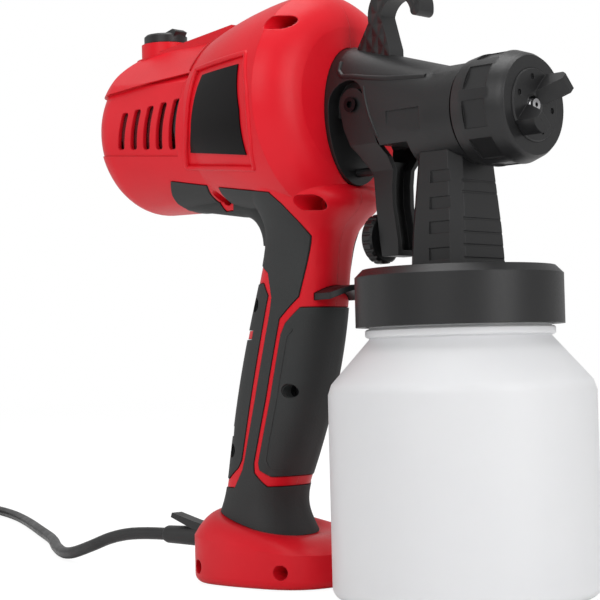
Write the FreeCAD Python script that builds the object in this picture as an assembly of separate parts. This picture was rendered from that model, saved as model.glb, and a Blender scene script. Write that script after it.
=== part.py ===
import FreeCAD, Part
import math
import os

# A hand-held electric paint sprayer: a turbine housing with a pistol handle, a spray head on its front and a cup below.
# Millimetres. +X is the spray direction, +Z is up. The origin is the centre of the cup's base, on the surface it stands on.

Vector = FreeCAD.Vector
X = Vector(1, 0, 0)
Y = Vector(0, 1, 0)
Z = Vector(0, 0, 1)

# Clearances shared by all the fits
running_clearance = 0.05
assembly_clearance = 0.2
soft_clearance = 0.3
touch = 0.02

# Cup, its lid and the pick-up tube
cup_radius = 51.5
cup_wall = 1.5
cup_base_rounding = 5.0
cup_shoulder_start = 82.0
cup_shoulder_end = 99.0
cup_neck_radius = 35.1
cup_neck_top = 119.4
cup_bead_radius = 36.6
cup_bead_low = 99.6
cup_bead_high = 102.8
lid_radius = 40.2
lid_bottom = 103.6
lid_top = 125.8
lid_plate = 4.2
lid_bevel = 3.0
gasket_thickness = 2.0
tube_radius = 4.0
tube_wall = 1.0
tube_lowest = 9.0
tube_socket_depth = 6.0
strainer_radius = 6.5
strainer_height = 11.0

# Spray head: barrel, flange and neck are one moulding
nozzle_axis_height = 184.5
barrel_radius = 19.4
barrel_front = 13.0
spigot_radius = 17.5
spigot_front = 26.0
flange_back = -56.0
flange_front = -49.0
flange_half_width = 17.4
flange_half_height = 28.0
flange_height = 190.0
barrel_underside = 174.7
neck_chamfer = 4.1
neck_sections = ((120.0, 27.2, 33.0), (141.0, 25.4, 31.0), (168.0, 21.8, 26.6), (179.0, 21.2, 26.0))
neck_notch_heights = (130.6, 140.7, 150.1, 160.3)
neck_groove_heights = (128.6, 133.6, 138.5, 143.7, 153.9, 158.3)
air_bore_radius = 2.6
air_bore_rear = (5.5, 200.0)
air_bore_front = (11.0, 190.5)
fluid_bore_radius = 3.0
needle_bore_radius = 2.2

# Trigger, its pin and what it moves
pivot_x = -40.0
pivot_height = 192.4
pin_radius = 2.0
arm_inner = 11.3
arm_outer = 14.5
blade_half_width = 6.5
trigger_wall = 2.2
trigger_bottom = 132.0
channel_depth = 3.6
channel_top = 169.5
boss_radius = 6.6
recess_margin = 3.0
push_bar_radius = 2.0
knob_x = -38.7
knob_height = 139.5
knob_radius = 10.0
knob_length = 5.4
knob_ribs = 18
needle_radius = 1.2
needle_tip = 38.4
needle_tail = -60.5
collar_radius = 5.0
collar_length = 4.0
packing_face = -26.5
packing_head_radius = 4.2
packing_head_length = 3.0
spring_wire = 0.9
spring_radius = 3.7
spring_turns = 6
spring_cup_back = -62.0
switch_push_height = 167.0
plunger_radius = 1.8
plunger_front = -38.4

# Front end
nut_back = 14.5
nut_front = 38.0
nut_radius = 21.4
nut_back_radius = 20.5
nut_face_radius = 19.3
nut_grips = 9
nut_grip_depth = 1.0
seal_ring_radius = 18.4
cap_radius = 13.9
cap_front = 38.7
cap_flange_radius = 16.2
cap_flange_thickness = 2.2
cap_flange_front = 33.6
horn_reach = 9.6
horn_angle = 45.0
cap_hole_radius = 1.15
cap_hole_depth = 0.8
cap_hole_ring = 10.5
cap_hole_angles = (98, 158, -8, -68)
nozzle_bore_radius = 4.9
nozzle_tip_radius = 2.3
nozzle_front = 39.2

# Hook over the barrel
hook_thickness = 9.0

# Housing drum, on an axis that rises a little to the front
drum_rear = -177.5
drum_rear_height = 193.3
drum_tilt = 1.3
drum_rear_radius = 35.4
drum_rear_rounding = 14.0
drum_waist_at = 64.5
drum_waist_radius = 37.6
drum_swell_at = 88.5
drum_swell_radius = 43.7
drum_crease_at = 113.5
drum_crease_radius = 46.5
drum_brow_at = 121.0
drum_brow_radius = 40.5
drum_front_at = 125.5
drum_front_radius = 30.0
facet_low = (36.0, 208.5)
facet_high = (9.0, 229.0)
facet_front = -113.0
spine_half_width = 8.5
wall = 2.6
grip_depth = 1.6
grip_raise = 0.35
grip_gap = 0.3

# Handle sections: height, front, back, half width and how square the section is (2 is an ellipse)
handle_sections = (
    (18.0, -85.0, -128.0, 21.0, 2.5), (30.0, -90.3, -124.4, 17.6, 2.5), (46.0, -86.4, -120.0, 16.6, 2.5),
    (84.0, -71.0, -112.4, 17.0, 2.5), (116.0, -64.0, -102.8, 16.6, 2.5), (136.0, -61.8, -95.8, 17.0, 2.5),
    (146.0, -58.0, -93.5, 19.5, 2.4), (153.0, -50.5, -95.0, 24.0, 2.3), (161.0, -50.5, -98.0, 30.0, 2.1),
    (171.0, -55.0, -100.0, 34.0, 2.0))
handle_power = 2.5
flare_centre_x = -108.0
flare_centre_height = 140.0
flare_tail_x = -150.0
flare_tail_height = 160.0
flare_radius = 13.4
flare_half_width = 13.5
flare_rounding = 6.0

# Foot
foot_front = -60.0
foot_back = -133.0
foot_half_width = 30.0
foot_power = 3.2
foot_crease_back = 20.5
foot_crease_front = 13.5
foot_neck_back = 30.5
foot_neck_front = 19.6
foot_rounding = 4.0

# Case screws: x, height
screw_places = (
    (-60.2, 226.2, 3.6), (-112.1, 161.2, 0), (-56.6, 154.8, 4.0), (-96.5, 115.4, 0), (-112.0, 55.0, 0), (-78.5, 79.6, 0),
    (-73.1, 7.2, 0), (-121.0, 7.2, 0))
screw_shank = 1.55
screw_head = 2.8
screw_head_height = 2.2
screw_head_seat = 8.0
screw_depth = 9.0
screw_well = 3.0
screw_boss = 4.2
seat_thickness = 2.8

# Vents and label
vent_count = 5
vent_first = -156.3
vent_pitch = 8.2
vent_width = 4.3
vent_lean = 0.26
vent_rounding = 1.2
vent_low = 184.8
vent_low_step = -0.78
vent_high = 200.2
vent_high_step = 0.5
panel_inwards = 0.75
panel_down = 0.5
panel_forward = 0.15
hood_raise = 0.6
sleeve_radius = 4.7
sleeve_collar_radius = 6.4
sleeve_collar_at = 3.4
sleeve_root_at = 6.0
label_recess = 1.1
label_thickness = 0.6

# Dial and its collar
dial_x = -163.5
dial_radius = 9.6
dial_bottom = 234.9
dial_top = 239.0
dial_tab_top = 240.8
collar_top = 234.6
dial_collar_radius = 10.8
dial_collar_bore = 6.2
dial_shaft_radius = 3.0

# Motor and turbine, on the drum's axis height at the turbine
motor_height = 195.0
shaft_radius = 3.0
shaft_rear = -168.0
shaft_front = -78.0
stator_rear = -146.0
stator_front = -113.0
stator_radius = 27.0
stator_bore = 17.0
rotor_radius = 16.5
commutator_rear = -160.0
commutator_length = 11.0
commutator_radius = 9.0
bearing_radius = 8.0
bearing_width = 6.0
rear_bearing_at = -167.5
front_bearing_at = -105.0
impeller_rear = -96.0
impeller_front = -82.0
impeller_radius = 33.0
impeller_blades = 9
shroud_wall = 1.4
shroud_radius = 35.0

# Lead, sleeve and plug
cord_radius = 2.75
sleeve_end = -169.0
sleeve_height = 16.5
coil_pitch = 6.1
coil_layer = 6.05
coil_climb_inset = 1.3
coil_outer_radius = 42.0
coil_half_turns = 7
coil_centre = (-574.0, 141.0)
coil_start_angle = 74.7
coil_lift = 0.7
plug_turn = -45.0
tie_thickness = 0.5
tie_gap = 0.15
tie_width = 9.0
plug_length = 36.0
plug_width = 27.0
plug_height = 14.0
pin_spacing = 19.0
plug_pin_radius = 2.0
plug_pin_length = 19.0


# Small building helpers

def point(x, y, z):
    return Vector(x, y, z)


def rod(radius, start, end):
    along = end.sub(start)
    return Part.makeCylinder(radius, along.Length, start, along)


def pipe(outer, inner, start, end):
    return rod(outer, start, end).cut(rod(inner, start, end))


def block(x0, x1, y0, y1, z0, z1):
    return Part.makeBox(x1 - x0, y1 - y0, z1 - z0, point(x0, y0, z0))


def join(shapes):
    whole = shapes[0]
    if len(shapes) > 1:
        whole = whole.fuse(list(shapes[1:]))
    return whole.removeSplitter()


def side_profile(places):
    """A closed wire in the XZ plane through the given places."""
    corners = [point(x, 0, z) for x, z in places]
    return Part.makePolygon(corners + [corners[0]])


def side_plate(wire, half_width):
    """The wire's area, from -half_width to +half_width in Y."""
    face = Part.Face(wire)
    face.translate(point(0, -half_width, 0))
    return face.extrude(point(0, 2 * half_width, 0))


def turned(outline, start, direction, turn_angle=360):
    """Turns an outline of (along, radius) places about the line from start."""
    side = point(0, 1, 0) if abs(direction.y) < 0.5 else point(0, 0, 1)
    corners = [start.add(direction * along).add(side * radius) for along, radius in outline]
    face = Part.Face(Part.makePolygon(corners + [corners[0]]))
    return face.revolve(start, direction, turn_angle)


def rounded(shape, radius, chosen):
    """Fillets the edges that the test picks, when there are any."""
    edges = [edge for edge in shape.Edges if chosen(edge)]
    return shape.makeFillet(radius, edges)


def bevelled(shape, size, chosen):
    edges = [edge for edge in shape.Edges if chosen(edge)]
    return shape.makeChamfer(size, edges)


def oval_wire(front, back, half_width, power, height_at):
    """A rounded closed curve in plan, whose height follows height_at(x)."""
    steps = 16
    middle = (front + back) / 2
    reach = (front - back) / 2
    corners = []
    for step in range(steps):
        angle = 2 * math.pi * (step + 0.5) / steps
        across = math.copysign(abs(math.cos(angle)) ** (2 / power), math.cos(angle))
        aside = math.copysign(abs(math.sin(angle)) ** (2 / power), math.sin(angle))
        x = middle + reach * across
        corners.append(point(x, half_width * aside, height_at(x)))
    curve = Part.BSplineCurve()
    curve.interpolate(Points=corners, PeriodicFlag=True)
    return Part.Wire(curve.toShape())


def slope(x0, z0, x1, z1):
    return lambda x: z0 + (z1 - z0) * (x - x0) / (x1 - x0)


nodes = {}


def keep(name, shape):
    nodes[name] = shape


# Cup

def make_cup():
    def floor_corner(start, middle, end, inset):
        if inset:
            return Part.LineSegment(start, end).toShape()
        return Part.Arc(start, middle, end).toShape()

    def solid(inset):
        base = inset
        floor_round = cup_base_rounding - inset
        r = cup_radius - inset
        corner = point(r - floor_round, 0, base + floor_round)
        mid = point(corner.x + floor_round * math.cos(math.pi / 4), 0, corner.z - floor_round * math.sin(math.pi / 4))
        shoulder_soft = 4.0
        outline = [
            Part.LineSegment(point(0, 0, base), point(corner.x, 0, base)).toShape(),
            floor_corner(point(corner.x, 0, base), mid, point(r, 0, corner.z), inset),
            Part.LineSegment(point(r, 0, corner.z), point(r, 0, cup_shoulder_start - shoulder_soft)).toShape(),
            Part.LineSegment(point(r, 0, cup_shoulder_start - shoulder_soft), point(r - 1.3, 0, cup_shoulder_start)).toShape(),
            Part.LineSegment(point(r - 1.3, 0, cup_shoulder_start), point(cup_neck_radius - inset, 0, cup_shoulder_end)).toShape(),
            Part.LineSegment(point(cup_neck_radius - inset, 0, cup_shoulder_end), point(cup_neck_radius - inset, 0, cup_neck_top)).toShape(),
            Part.LineSegment(point(cup_neck_radius - inset, 0, cup_neck_top), point(0, 0, cup_neck_top)).toShape(),
            Part.LineSegment(point(0, 0, cup_neck_top), point(0, 0, base)).toShape()]
        return Part.Face(Part.Wire(outline)).revolve(point(0, 0, 0), Z, 360)

    bead = Part.makeCylinder(cup_bead_radius, cup_bead_high - cup_bead_low, point(0, 0, cup_bead_low))
    bead = bevelled(bead, 0.6, lambda edge: edge.Length > cup_radius)
    keep("container", join([solid(0), bead]).cut(solid(cup_wall)))


def make_lid():
    body = Part.makeCylinder(lid_radius, lid_top - lid_bottom, point(0, 0, lid_bottom))
    body = bevelled(body, lid_bevel, lambda edge: edge.BoundBox.ZMin > lid_top - touch)
    hollow = Part.makeCylinder(cup_neck_radius + soft_clearance, lid_top - lid_plate - lid_bottom, point(0, 0, lid_bottom))
    socket = neck_solid(assembly_clearance)
    keep("container_lid", body.cut(hollow).cut(socket))

    gasket_top = lid_top - lid_plate - touch
    gasket = pipe(cup_neck_radius, cup_neck_radius - 5.5, point(0, 0, gasket_top - gasket_thickness), point(0, 0, gasket_top))
    keep("lid_gasket", gasket)

    keep("suction_tube", pipe(tube_radius, tube_radius - tube_wall, point(0, 0, tube_lowest), point(0, 0, neck_sections[0][0] + tube_socket_depth)))
    cage = pipe(strainer_radius, tube_radius + touch, point(0, 0, tube_lowest - 4), point(0, 0, tube_lowest - 4 + strainer_height))
    base = Part.makeCylinder(strainer_radius, 1.2, point(0, 0, tube_lowest - 4 - 1.2))
    cage = join([cage, base])
    slots = 6
    for step in range(slots):
        slot = block(tube_radius, strainer_radius + 1, -1.2, 1.2, tube_lowest - 3, tube_lowest - 0.8)
        slot.rotate(point(0, 0, 0), Z, 360 * step / slots)
        cage = cage.cut(slot)
    keep("strainer", cage)


# Spray head

def chamfered_wire(height, length, width, chamfer):
    a = length / 2
    b = width / 2
    c = chamfer
    corners = [(a, -b + c), (a, b - c), (a - c, b), (-a + c, b), (-a, b - c), (-a, -b + c), (-a + c, -b), (a - c, -b)]
    places = [point(x, y, height) for x, y in corners]
    return Part.makePolygon(places + [places[0]])


def neck_solid(grow):
    wires = [chamfered_wire(z, length + 2 * grow, width + 2 * grow, neck_chamfer) for z, length, width in neck_sections]
    return Part.makeLoft(wires, True, True)


def barrel_solid():
    def ellipse_wire(x, half_width, half_height, height):
        big, small = max(half_width, half_height), min(half_width, half_height)
        upright = half_height >= half_width
        curve = Part.Ellipse(point(x, 0, height + big) if upright else point(x, big, height),
                             point(x, small, height) if upright else point(x, 0, height + small), point(x, 0, height))
        return Part.Wire(curve.toShape())

    flange = [ellipse_wire(x, flange_half_width, flange_half_height, flange_height) for x in (flange_back, flange_front)]
    body = [ellipse_wire(flange_front, flange_half_width, flange_half_height, flange_height),
            ellipse_wire(0, barrel_radius, barrel_radius + touch, nozzle_axis_height),
            ellipse_wire(barrel_front, barrel_radius, barrel_radius + touch, nozzle_axis_height)]
    return join([Part.makeLoft(flange, True, True), Part.makeLoft(body, True, True)])


def make_gun_body():
    axis = nozzle_axis_height
    body = barrel_solid()
    spigot = rod(spigot_radius, point(barrel_front, 0, axis), point(spigot_front, 0, axis))
    body = join([body, spigot])

    # The trigger's recess: a pocket on each side for an arm, and one open space across below the pivot boss
    back = flange_front - 1.0
    top_arc = [Part.LineSegment(point(back, 0, 150), point(back, 0, pivot_height)).toShape(),
               Part.Arc(point(back, 0, pivot_height), point(pivot_x, 0, pivot_height + boss_radius + recess_margin),
                        point(pivot_x + boss_radius + 1.5, 0, pivot_height + 3)).toShape(),
               Part.LineSegment(point(pivot_x + boss_radius + 1.5, 0, pivot_height + 3), point(-25.0, 0, 176.0)).toShape(),
               Part.LineSegment(point(-25.0, 0, 176.0), point(-25.0, 0, 150)).toShape(),
               Part.LineSegment(point(-25.0, 0, 150), point(back, 0, 150)).toShape()]
    pocket = side_plate(Part.Wire(top_arc), 40)
    web_half_width = arm_inner - soft_clearance
    boss_bottom = axis + push_bar_radius + 1.8
    web = block(-60, 10, -web_half_width, web_half_width, boss_bottom, 230)
    pocket = pocket.cut(web)
    underside = block(-25.5, -neck_sections[-1][1] / 2, -40, 40, 140, barrel_underside)
    flange_keep = side_plate(side_profile(((flange_back, 150), (flange_front - 1, 150), (flange_front - 1, 240), (flange_back, 240))), 40)
    body = body.cut(pocket).cut(underside.cut(flange_keep))

    # Bores
    body = body.cut(rod(needle_bore_radius, point(flange_back - 1, 0, axis), point(spigot_front + 1, 0, axis)))
    body = body.cut(rod(nozzle_bore_radius, point(-8, 0, axis), point(spigot_front + 1, 0, axis)))
    body = body.cut(rod(packing_head_radius + assembly_clearance, point(pivot_x - 2, 0, axis), point(packing_face + packing_head_length, 0, axis)))
    body = body.cut(rod(collar_radius + assembly_clearance, point(flange_front - 2, 0, axis), point(pivot_x + 1, 0, axis)))
    body = body.cut(rod(fluid_bore_radius, point(0, 0, 100), point(0, 0, axis)))
    for side in (-1, 1):
        rear = point(flange_back - 1, side * air_bore_rear[0], air_bore_rear[1])
        front = point(spigot_front + 1, side * air_bore_front[0], air_bore_front[1])
        body = body.cut(rod(air_bore_radius, rear, front))
    body = body.cut(rod(pin_radius + touch, point(pivot_x, -30, pivot_height), point(pivot_x, 30, pivot_height)))
    body = body.cut(rod(spring_radius + spring_wire + 1, point(flange_back - 1, 0, axis), point(flange_front, 0, axis)))
    body = body.cut(rod(plunger_radius + running_clearance, point(flange_back - 1, 0, switch_push_height), point(flange_front + 1, 0, switch_push_height)))
    for y, z in gun_screw_places():
        body = body.cut(rod(1.6, point(flange_back - 1, y, z), point(flange_front - 1.5, y, z)))

    # Shallow side recess of the barrel
    for side in (-1, 1):
        low, high = sorted((side * (barrel_radius - 1.2), side * (barrel_radius + 6)))
        body = body.cut(block(-19, -2, low, high, 178.5, 187.0))
    keep("gun_body", body)


def make_neck():
    """The neck that carries the lid: a chamfered column with moulded grooves, its top shaped to the barrel."""
    neck = neck_solid(0).cut(barrel_solid())
    neck = neck.cut(rod(fluid_bore_radius, point(0, 0, 100), point(0, 0, nozzle_axis_height)))
    neck = neck.cut(rod(tube_radius + touch, point(0, 0, 100), point(0, 0, neck_sections[0][0] + tube_socket_depth)))
    for side in (-1, 1):
        for height in neck_notch_heights:
            near, far = sorted((side * 30, side * (half_width_of_neck(height) - 0.6)))
            neck = neck.cut(block(-1.4, 8.5, near, far, height - 2.3, height + 2.3))
    for height in neck_groove_heights:
        front = half_length_of_neck(height)
        neck = neck.cut(block(front - 0.5, front + 5, -20, 20, height - 0.45, height + 0.45))
    keep("feed_neck", biggest(neck))


def between_sections(height, column):
    for lower, upper in zip(neck_sections, neck_sections[1:]):
        if lower[0] <= height <= upper[0]:
            share = (height - lower[0]) / (upper[0] - lower[0])
            return (lower[column] + share * (upper[column] - lower[column])) / 2
    return neck_sections[-1][column] / 2


def half_length_of_neck(height):
    return between_sections(height, 1)


def half_width_of_neck(height):
    return between_sections(height, 2)


def gun_screw_places():
    return [(side * 9.5, flange_height + up * 18.5) for side in (-1, 1) for up in (-1, 1)]


def make_hook():
    """A strap that rises from the barrel, arches forward and turns down at its tip."""
    foot_low = 208.0
    outline = [
        Part.LineSegment(point(-45.0, 0, foot_low), point(-45.0, 0, 216.5)).toShape(),
        Part.LineSegment(point(-45.0, 0, 216.5), point(-38.9, 0, 226.0)).toShape(),
        Part.Arc(point(-38.9, 0, 226.0), point(-35.5, 0, 237.2), point(-25.5, 0, 241.0)).toShape(),
        Part.Arc(point(-25.5, 0, 241.0), point(-15.8, 0, 237.6), point(-12.4, 0, 228.0)).toShape(),
        Part.Arc(point(-12.4, 0, 228.0), point(-14.7, 0, 225.6), point(-17.0, 0, 228.0)).toShape(),
        Part.Arc(point(-17.0, 0, 228.0), point(-24.6, 0, 234.2), point(-32.4, 0, 228.0)).toShape(),
        Part.LineSegment(point(-32.4, 0, 228.0), point(-28.5, 0, 214.5)).toShape(),
        Part.LineSegment(point(-28.5, 0, 214.5), point(-28.5, 0, foot_low)).toShape(),
        Part.LineSegment(point(-28.5, 0, foot_low), point(-45.0, 0, foot_low)).toShape()]
    hook = side_plate(Part.Wire(outline), hook_thickness / 2)
    keep("hanging_hook", hook.cut(barrel_solid()))


def make_front_end():
    axis = nozzle_axis_height
    centre = point(0, 0, axis)

    # Union nut: a cup-shaped ring that screws on the spigot and holds the air cap's flange
    lip_back = cap_flange_front + assembly_clearance
    nut = turned([(nut_back, spigot_radius + running_clearance), (nut_back, nut_back_radius), (nut_back + 5, nut_radius),
                  (31.5, nut_radius), (nut_front - 1.6, nut_face_radius + 0.5), (nut_front, nut_face_radius - 0.6),
                  (nut_front, cap_radius + running_clearance), (lip_back, cap_radius + running_clearance),
                  (lip_back, cap_flange_radius + 2), (spigot_front + 1, cap_flange_radius + 2),
                  (spigot_front + 1, spigot_radius + running_clearance)], centre, X)
    for step in range(nut_grips):
        grip = block(20.5, 31.0, -5.2, 5.2, axis + nut_radius - nut_grip_depth, axis + nut_radius + 3)
        grip.rotate(centre, X, 360 * (step + 0.5) / nut_grips)
        nut = nut.cut(grip)
    keep("union_nut", nut)

    keep("nut_seal_ring", pipe(seal_ring_radius, spigot_radius + touch, point(barrel_front, 0, axis), point(nut_back - assembly_clearance, 0, axis)))

    # Fluid nozzle: a stepped turned part in the spigot's bore
    nozzle = turned([(18.0, needle_radius + 0.9), (18.0, nozzle_bore_radius - touch), (spigot_front, nozzle_bore_radius - touch),
                     (spigot_front, 7.5), (spigot_front + 3.6, 7.5), (spigot_front + 3.6, 5.0), (34.0, 4.4), (nozzle_front - 1.2, nozzle_tip_radius),
                     (nozzle_front, nozzle_tip_radius), (nozzle_front, needle_radius - 0.3), (nozzle_front - 1.5, needle_radius + touch * 4),
                     (30.0, needle_radius + 0.9)], centre, X)
    keep("fluid_nozzle", nozzle)

    # Air cap: a dished disc with a flange, two horns and four small blind holes
    back = cap_flange_front - cap_flange_thickness
    cap = turned([(back, 7.0), (back, cap_flange_radius), (cap_flange_front, cap_flange_radius), (cap_flange_front, cap_radius),
                  (cap_front - 0.5, cap_radius), (cap_front, cap_radius - 0.5), (cap_front, 5.4), (cap_front - 0.7, nozzle_tip_radius + 1.2),
                  (cap_front - 2.2, nozzle_tip_radius + 1.2), (cap_front - 3.2, 5.6)], centre, X)
    for turn in (horn_angle, horn_angle + 180):
        outline = [point(cap_front - 1, 0, 3.2), point(cap_front + horn_reach * 0.55, 0, 6.6), point(cap_front + horn_reach, 0, 9.4),
                   point(cap_front + horn_reach, 0, 12.2), point(cap_front + horn_reach * 0.75, 0, cap_radius), point(cap_front - 1, 0, cap_radius)]
        horn = Part.Face(Part.makePolygon(outline + [outline[0]]))
        horn.translate(point(0, -3.6, axis))
        horn = horn.extrude(point(0, 7.2, 0))
        horn = horn.common(rod(cap_radius, point(cap_front - 2, 0, axis), point(cap_front + horn_reach + 1, 0, axis)))
        horn.rotate(centre, X, turn - 90)
        cap = cap.fuse(horn)
    for turn in cap_hole_angles:
        y = cap_hole_ring * math.cos(math.radians(turn))
        z = axis + cap_hole_ring * math.sin(math.radians(turn))
        cap = cap.cut(rod(cap_hole_radius, point(cap_front - cap_hole_depth, y, z), point(cap_front + 1, y, z)))
    keep("air_cap", cap.removeSplitter())

    # Needle with its collar, packing nut, spring and spring cup
    collar_front = pivot_x - push_bar_radius - soft_clearance
    collar_back = collar_front - collar_length
    needle = join([rod(needle_radius, point(needle_tail, 0, axis), point(needle_tip - 4, 0, axis)),
                   Part.makeCone(needle_radius, 0.4, 4, point(needle_tip - 4, 0, axis), X),
                   rod(collar_radius, point(collar_back, 0, axis), point(collar_front, 0, axis))])
    keep("needle", needle)
    packing_shoulder = packing_face + packing_head_length
    packing = turned([(packing_face, needle_radius + running_clearance), (packing_face, packing_head_radius),
                      (packing_shoulder, packing_head_radius), (packing_shoulder, needle_bore_radius - touch),
                      (packing_shoulder + 9.5, needle_bore_radius - touch),
                      (packing_shoulder + 9.5, needle_radius + running_clearance)], centre, X)
    keep("packing_nut", packing)

    seat = spring_cup_back + 1.4
    length = collar_back - soft_clearance - seat
    helix = Part.makeHelix((length - spring_wire) / spring_turns, length - spring_wire, spring_radius)
    section = Part.Wire(Part.Circle(point(spring_radius, 0, 0), Y, spring_wire / 2).toShape())
    spring = Part.Wire(helix).makePipeShell([section], True, False)
    spring.rotate(point(0, 0, 0), Y, 90)
    spring.translate(point(seat + spring_wire / 2 + soft_clearance / 3, 0, axis))
    keep("needle_spring", spring)
    cup_outer = spring_radius + spring_wire + 1 - touch
    cup = turned([(spring_cup_back, needle_radius + 0.4), (spring_cup_back, cup_outer), (flange_back, cup_outer),
                  (flange_front - 2, cup_outer), (flange_front - 2, spring_radius + spring_wire), (seat, spring_radius + spring_wire),
                  (seat, needle_radius + 0.4)], centre, X)
    keep("spring_cup", cup)


def make_trigger():
    front = [(-33.6, 194.0), (-28.0, 178.0), (-25.4, 171.0), (-26.8, 160.0), (-26.8, 152.0), (-24.6, 138.0), (-24.6, trigger_bottom)]
    back = [(-33.0, trigger_bottom), (-34.0, 138.0), (-35.5, 152.0), (-36.2, 163.0), (-39.2, 172.0), (-44.6, 183.0), (-46.4, 191.0)]
    side_outline = side_plate(side_profile(front + back), arm_outer)
    head = rod(boss_radius, point(pivot_x, -arm_outer, pivot_height), point(pivot_x, arm_outer, pivot_height))
    blank = join([side_outline, head])

    # Seen from the front, the two arms come together below the barrel
    def gate(half_top, half_low):
        outline = [(half_top, 205.0), (half_top, 176.0), (half_low, 166.0), (half_low, 120.0)]
        corners = [point(-60, y, z) for y, z in outline] + [point(-60, -y, z) for y, z in reversed(outline)]
        return Part.Face(Part.makePolygon(corners + [corners[0]])).extrude(point(60, 0, 0))

    shell = blank.common(gate(arm_outer, blade_half_width))
    inside = gate(arm_inner, blade_half_width - trigger_wall)
    channel_floor = [(x - channel_depth, z) for x, z in reversed(front[2:])]
    web_keep = side_plate(side_profile([(-53.0, trigger_bottom - 1)] + channel_floor + [(-60, 172.0)]), 20)
    floor_keep = block(-60, 0, -20, 20, 120, trigger_bottom + trigger_wall)
    hollow = inside.cut(web_keep.common(block(-60, 0, -20, 20, 100, channel_top))).cut(floor_keep)
    trigger = shell.cut(hollow)

    # Push bars on the arms, either side of the needle
    for side in (-1, 1):
        trigger = trigger.fuse(rod(push_bar_radius, point(pivot_x, side * (needle_radius + 0.6), nozzle_axis_height),
                                   point(pivot_x, side * (arm_inner + 1), nozzle_axis_height)))
    # The head of each arm reaches down far enough to carry its push bar
    trigger = trigger.cut(rod(pin_radius + running_clearance, point(pivot_x, -30, pivot_height), point(pivot_x, 30, pivot_height)))

    # A round boss behind the lower end takes the flow screw
    boss = rod(4.6, point(knob_x + knob_length / 2 + soft_clearance, 0, knob_height), point(-31.5, 0, knob_height))
    trigger = trigger.fuse(boss).cut(rod(2.5 + running_clearance, point(-60, 0, knob_height), point(-29.5, 0, knob_height)))
    keep("trigger", trigger.removeSplitter())

    pin = rod(pin_radius, point(pivot_x, -arm_outer - 0.4, pivot_height), point(pivot_x, arm_outer + 0.4, pivot_height))
    cap_rim = rod(3.0, point(pivot_x, -arm_outer - 1.4, pivot_height), point(pivot_x, -arm_outer - 0.4, pivot_height))
    hex_corners = [point(pivot_x + 1.5 * math.cos(math.radians(60 * k)), -arm_outer - 1.6, pivot_height + 1.5 * math.sin(math.radians(60 * k)))
                   for k in range(6)]
    hexagon = Part.Face(Part.makePolygon(hex_corners + [hex_corners[0]])).extrude(point(0, 1.6, 0))
    keep("trigger_pin", join([pin, cap_rim]).cut(hexagon))

    knob_back = knob_x - knob_length / 2
    knob_front = knob_x + knob_length / 2
    knob = rod(knob_radius, point(knob_back, 0, knob_height), point(knob_front, 0, knob_height))
    knob = bevelled(knob, 1.0, lambda edge: edge.Length > knob_radius * 5)
    for step in range(knob_ribs):
        groove = rod(0.75, point(knob_back - 1, 0, knob_height + knob_radius), point(knob_front + 1, 0, knob_height + knob_radius))
        groove.rotate(point(0, 0, knob_height), X, 360 * step / knob_ribs)
        knob = knob.cut(groove)
    screw = rod(2.5, point(knob_front, 0, knob_height), point(-30.5, 0, knob_height))
    keep("flow_knob", join([knob, screw]))

    plunger = rod(plunger_radius, point(flange_back - 5.5, 0, switch_push_height), point(plunger_front, 0, switch_push_height))
    keep("switch_plunger", plunger)


# Housing

def drum_solid(inset):
    """The turbine drum: a turned shape with a round rear, a waist, a swelling front and a crease."""
    tilt = math.radians(drum_tilt)
    start = point(drum_rear, 0, drum_rear_height)
    along = point(math.cos(tilt), 0, math.sin(tilt))
    side = Y
    r0 = drum_rear_radius - inset
    soft = max(drum_rear_rounding - inset, 1.0)

    def place(s, r):
        return start.add(along * s).add(side * r)

    bend = soft * (1 - math.cos(math.pi / 4))
    edges = [
        Part.LineSegment(place(inset, 0), place(inset, r0 - soft)).toShape(),
        Part.Arc(place(inset, r0 - soft), place(inset + bend, r0 - bend), place(inset + soft, r0)).toShape(),
        Part.LineSegment(place(inset + soft, r0), place(drum_waist_at, drum_waist_radius - inset)).toShape(),
        Part.Arc(place(drum_waist_at, drum_waist_radius - inset), place(drum_swell_at, drum_swell_radius - inset), place(drum_crease_at, drum_crease_radius - inset)).toShape(),
        Part.Arc(place(drum_crease_at, drum_crease_radius - inset), place(drum_brow_at, drum_brow_radius - inset), place(drum_front_at - inset, drum_front_radius - inset)).toShape(),
        Part.LineSegment(place(drum_front_at - inset, drum_front_radius - inset), place(drum_front_at - inset, 0)).toShape(),
        Part.LineSegment(place(drum_front_at - inset, 0), place(inset, 0)).toShape()]
    drum = Part.Face(Part.Wire(edges)).revolve(start, along, 360)

    # Flat shoulders above the vents, up to the step in front of them
    slant = math.atan2(facet_high[1] - facet_low[1], facet_low[0] - facet_high[0])
    for hand in (-1, 1):
        outline = [(facet_low[0] + 20 * math.cos(slant), facet_low[1] - 20 * math.sin(slant)),
                   (facet_high[0] - 12 * math.cos(slant), facet_high[1] + 12 * math.sin(slant))]
        shift_y = -inset * math.sin(slant)
        shift_z = -inset * math.cos(slant)
        corners = [point(drum_rear - 5, hand * (y + shift_y), z + shift_z) for y, z in outline]
        corners += [point(drum_rear - 5, hand * 60, 260), point(drum_rear - 5, hand * 62, 190)]
        shoulder = Part.Face(Part.makePolygon(corners + [corners[0]])).extrude(point(facet_front + 5 - drum_rear + inset, 0, 0))
        drum = drum.cut(shoulder)
    spine = side_plate(side_profile(((dial_x, 205), (dial_x, 229.0 - inset), (-112.0, 235.0 - inset), (-92.0, 236.0 - inset), (-92.0, 205))),
                       spine_half_width - inset)
    return join([drum, spine])


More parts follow.
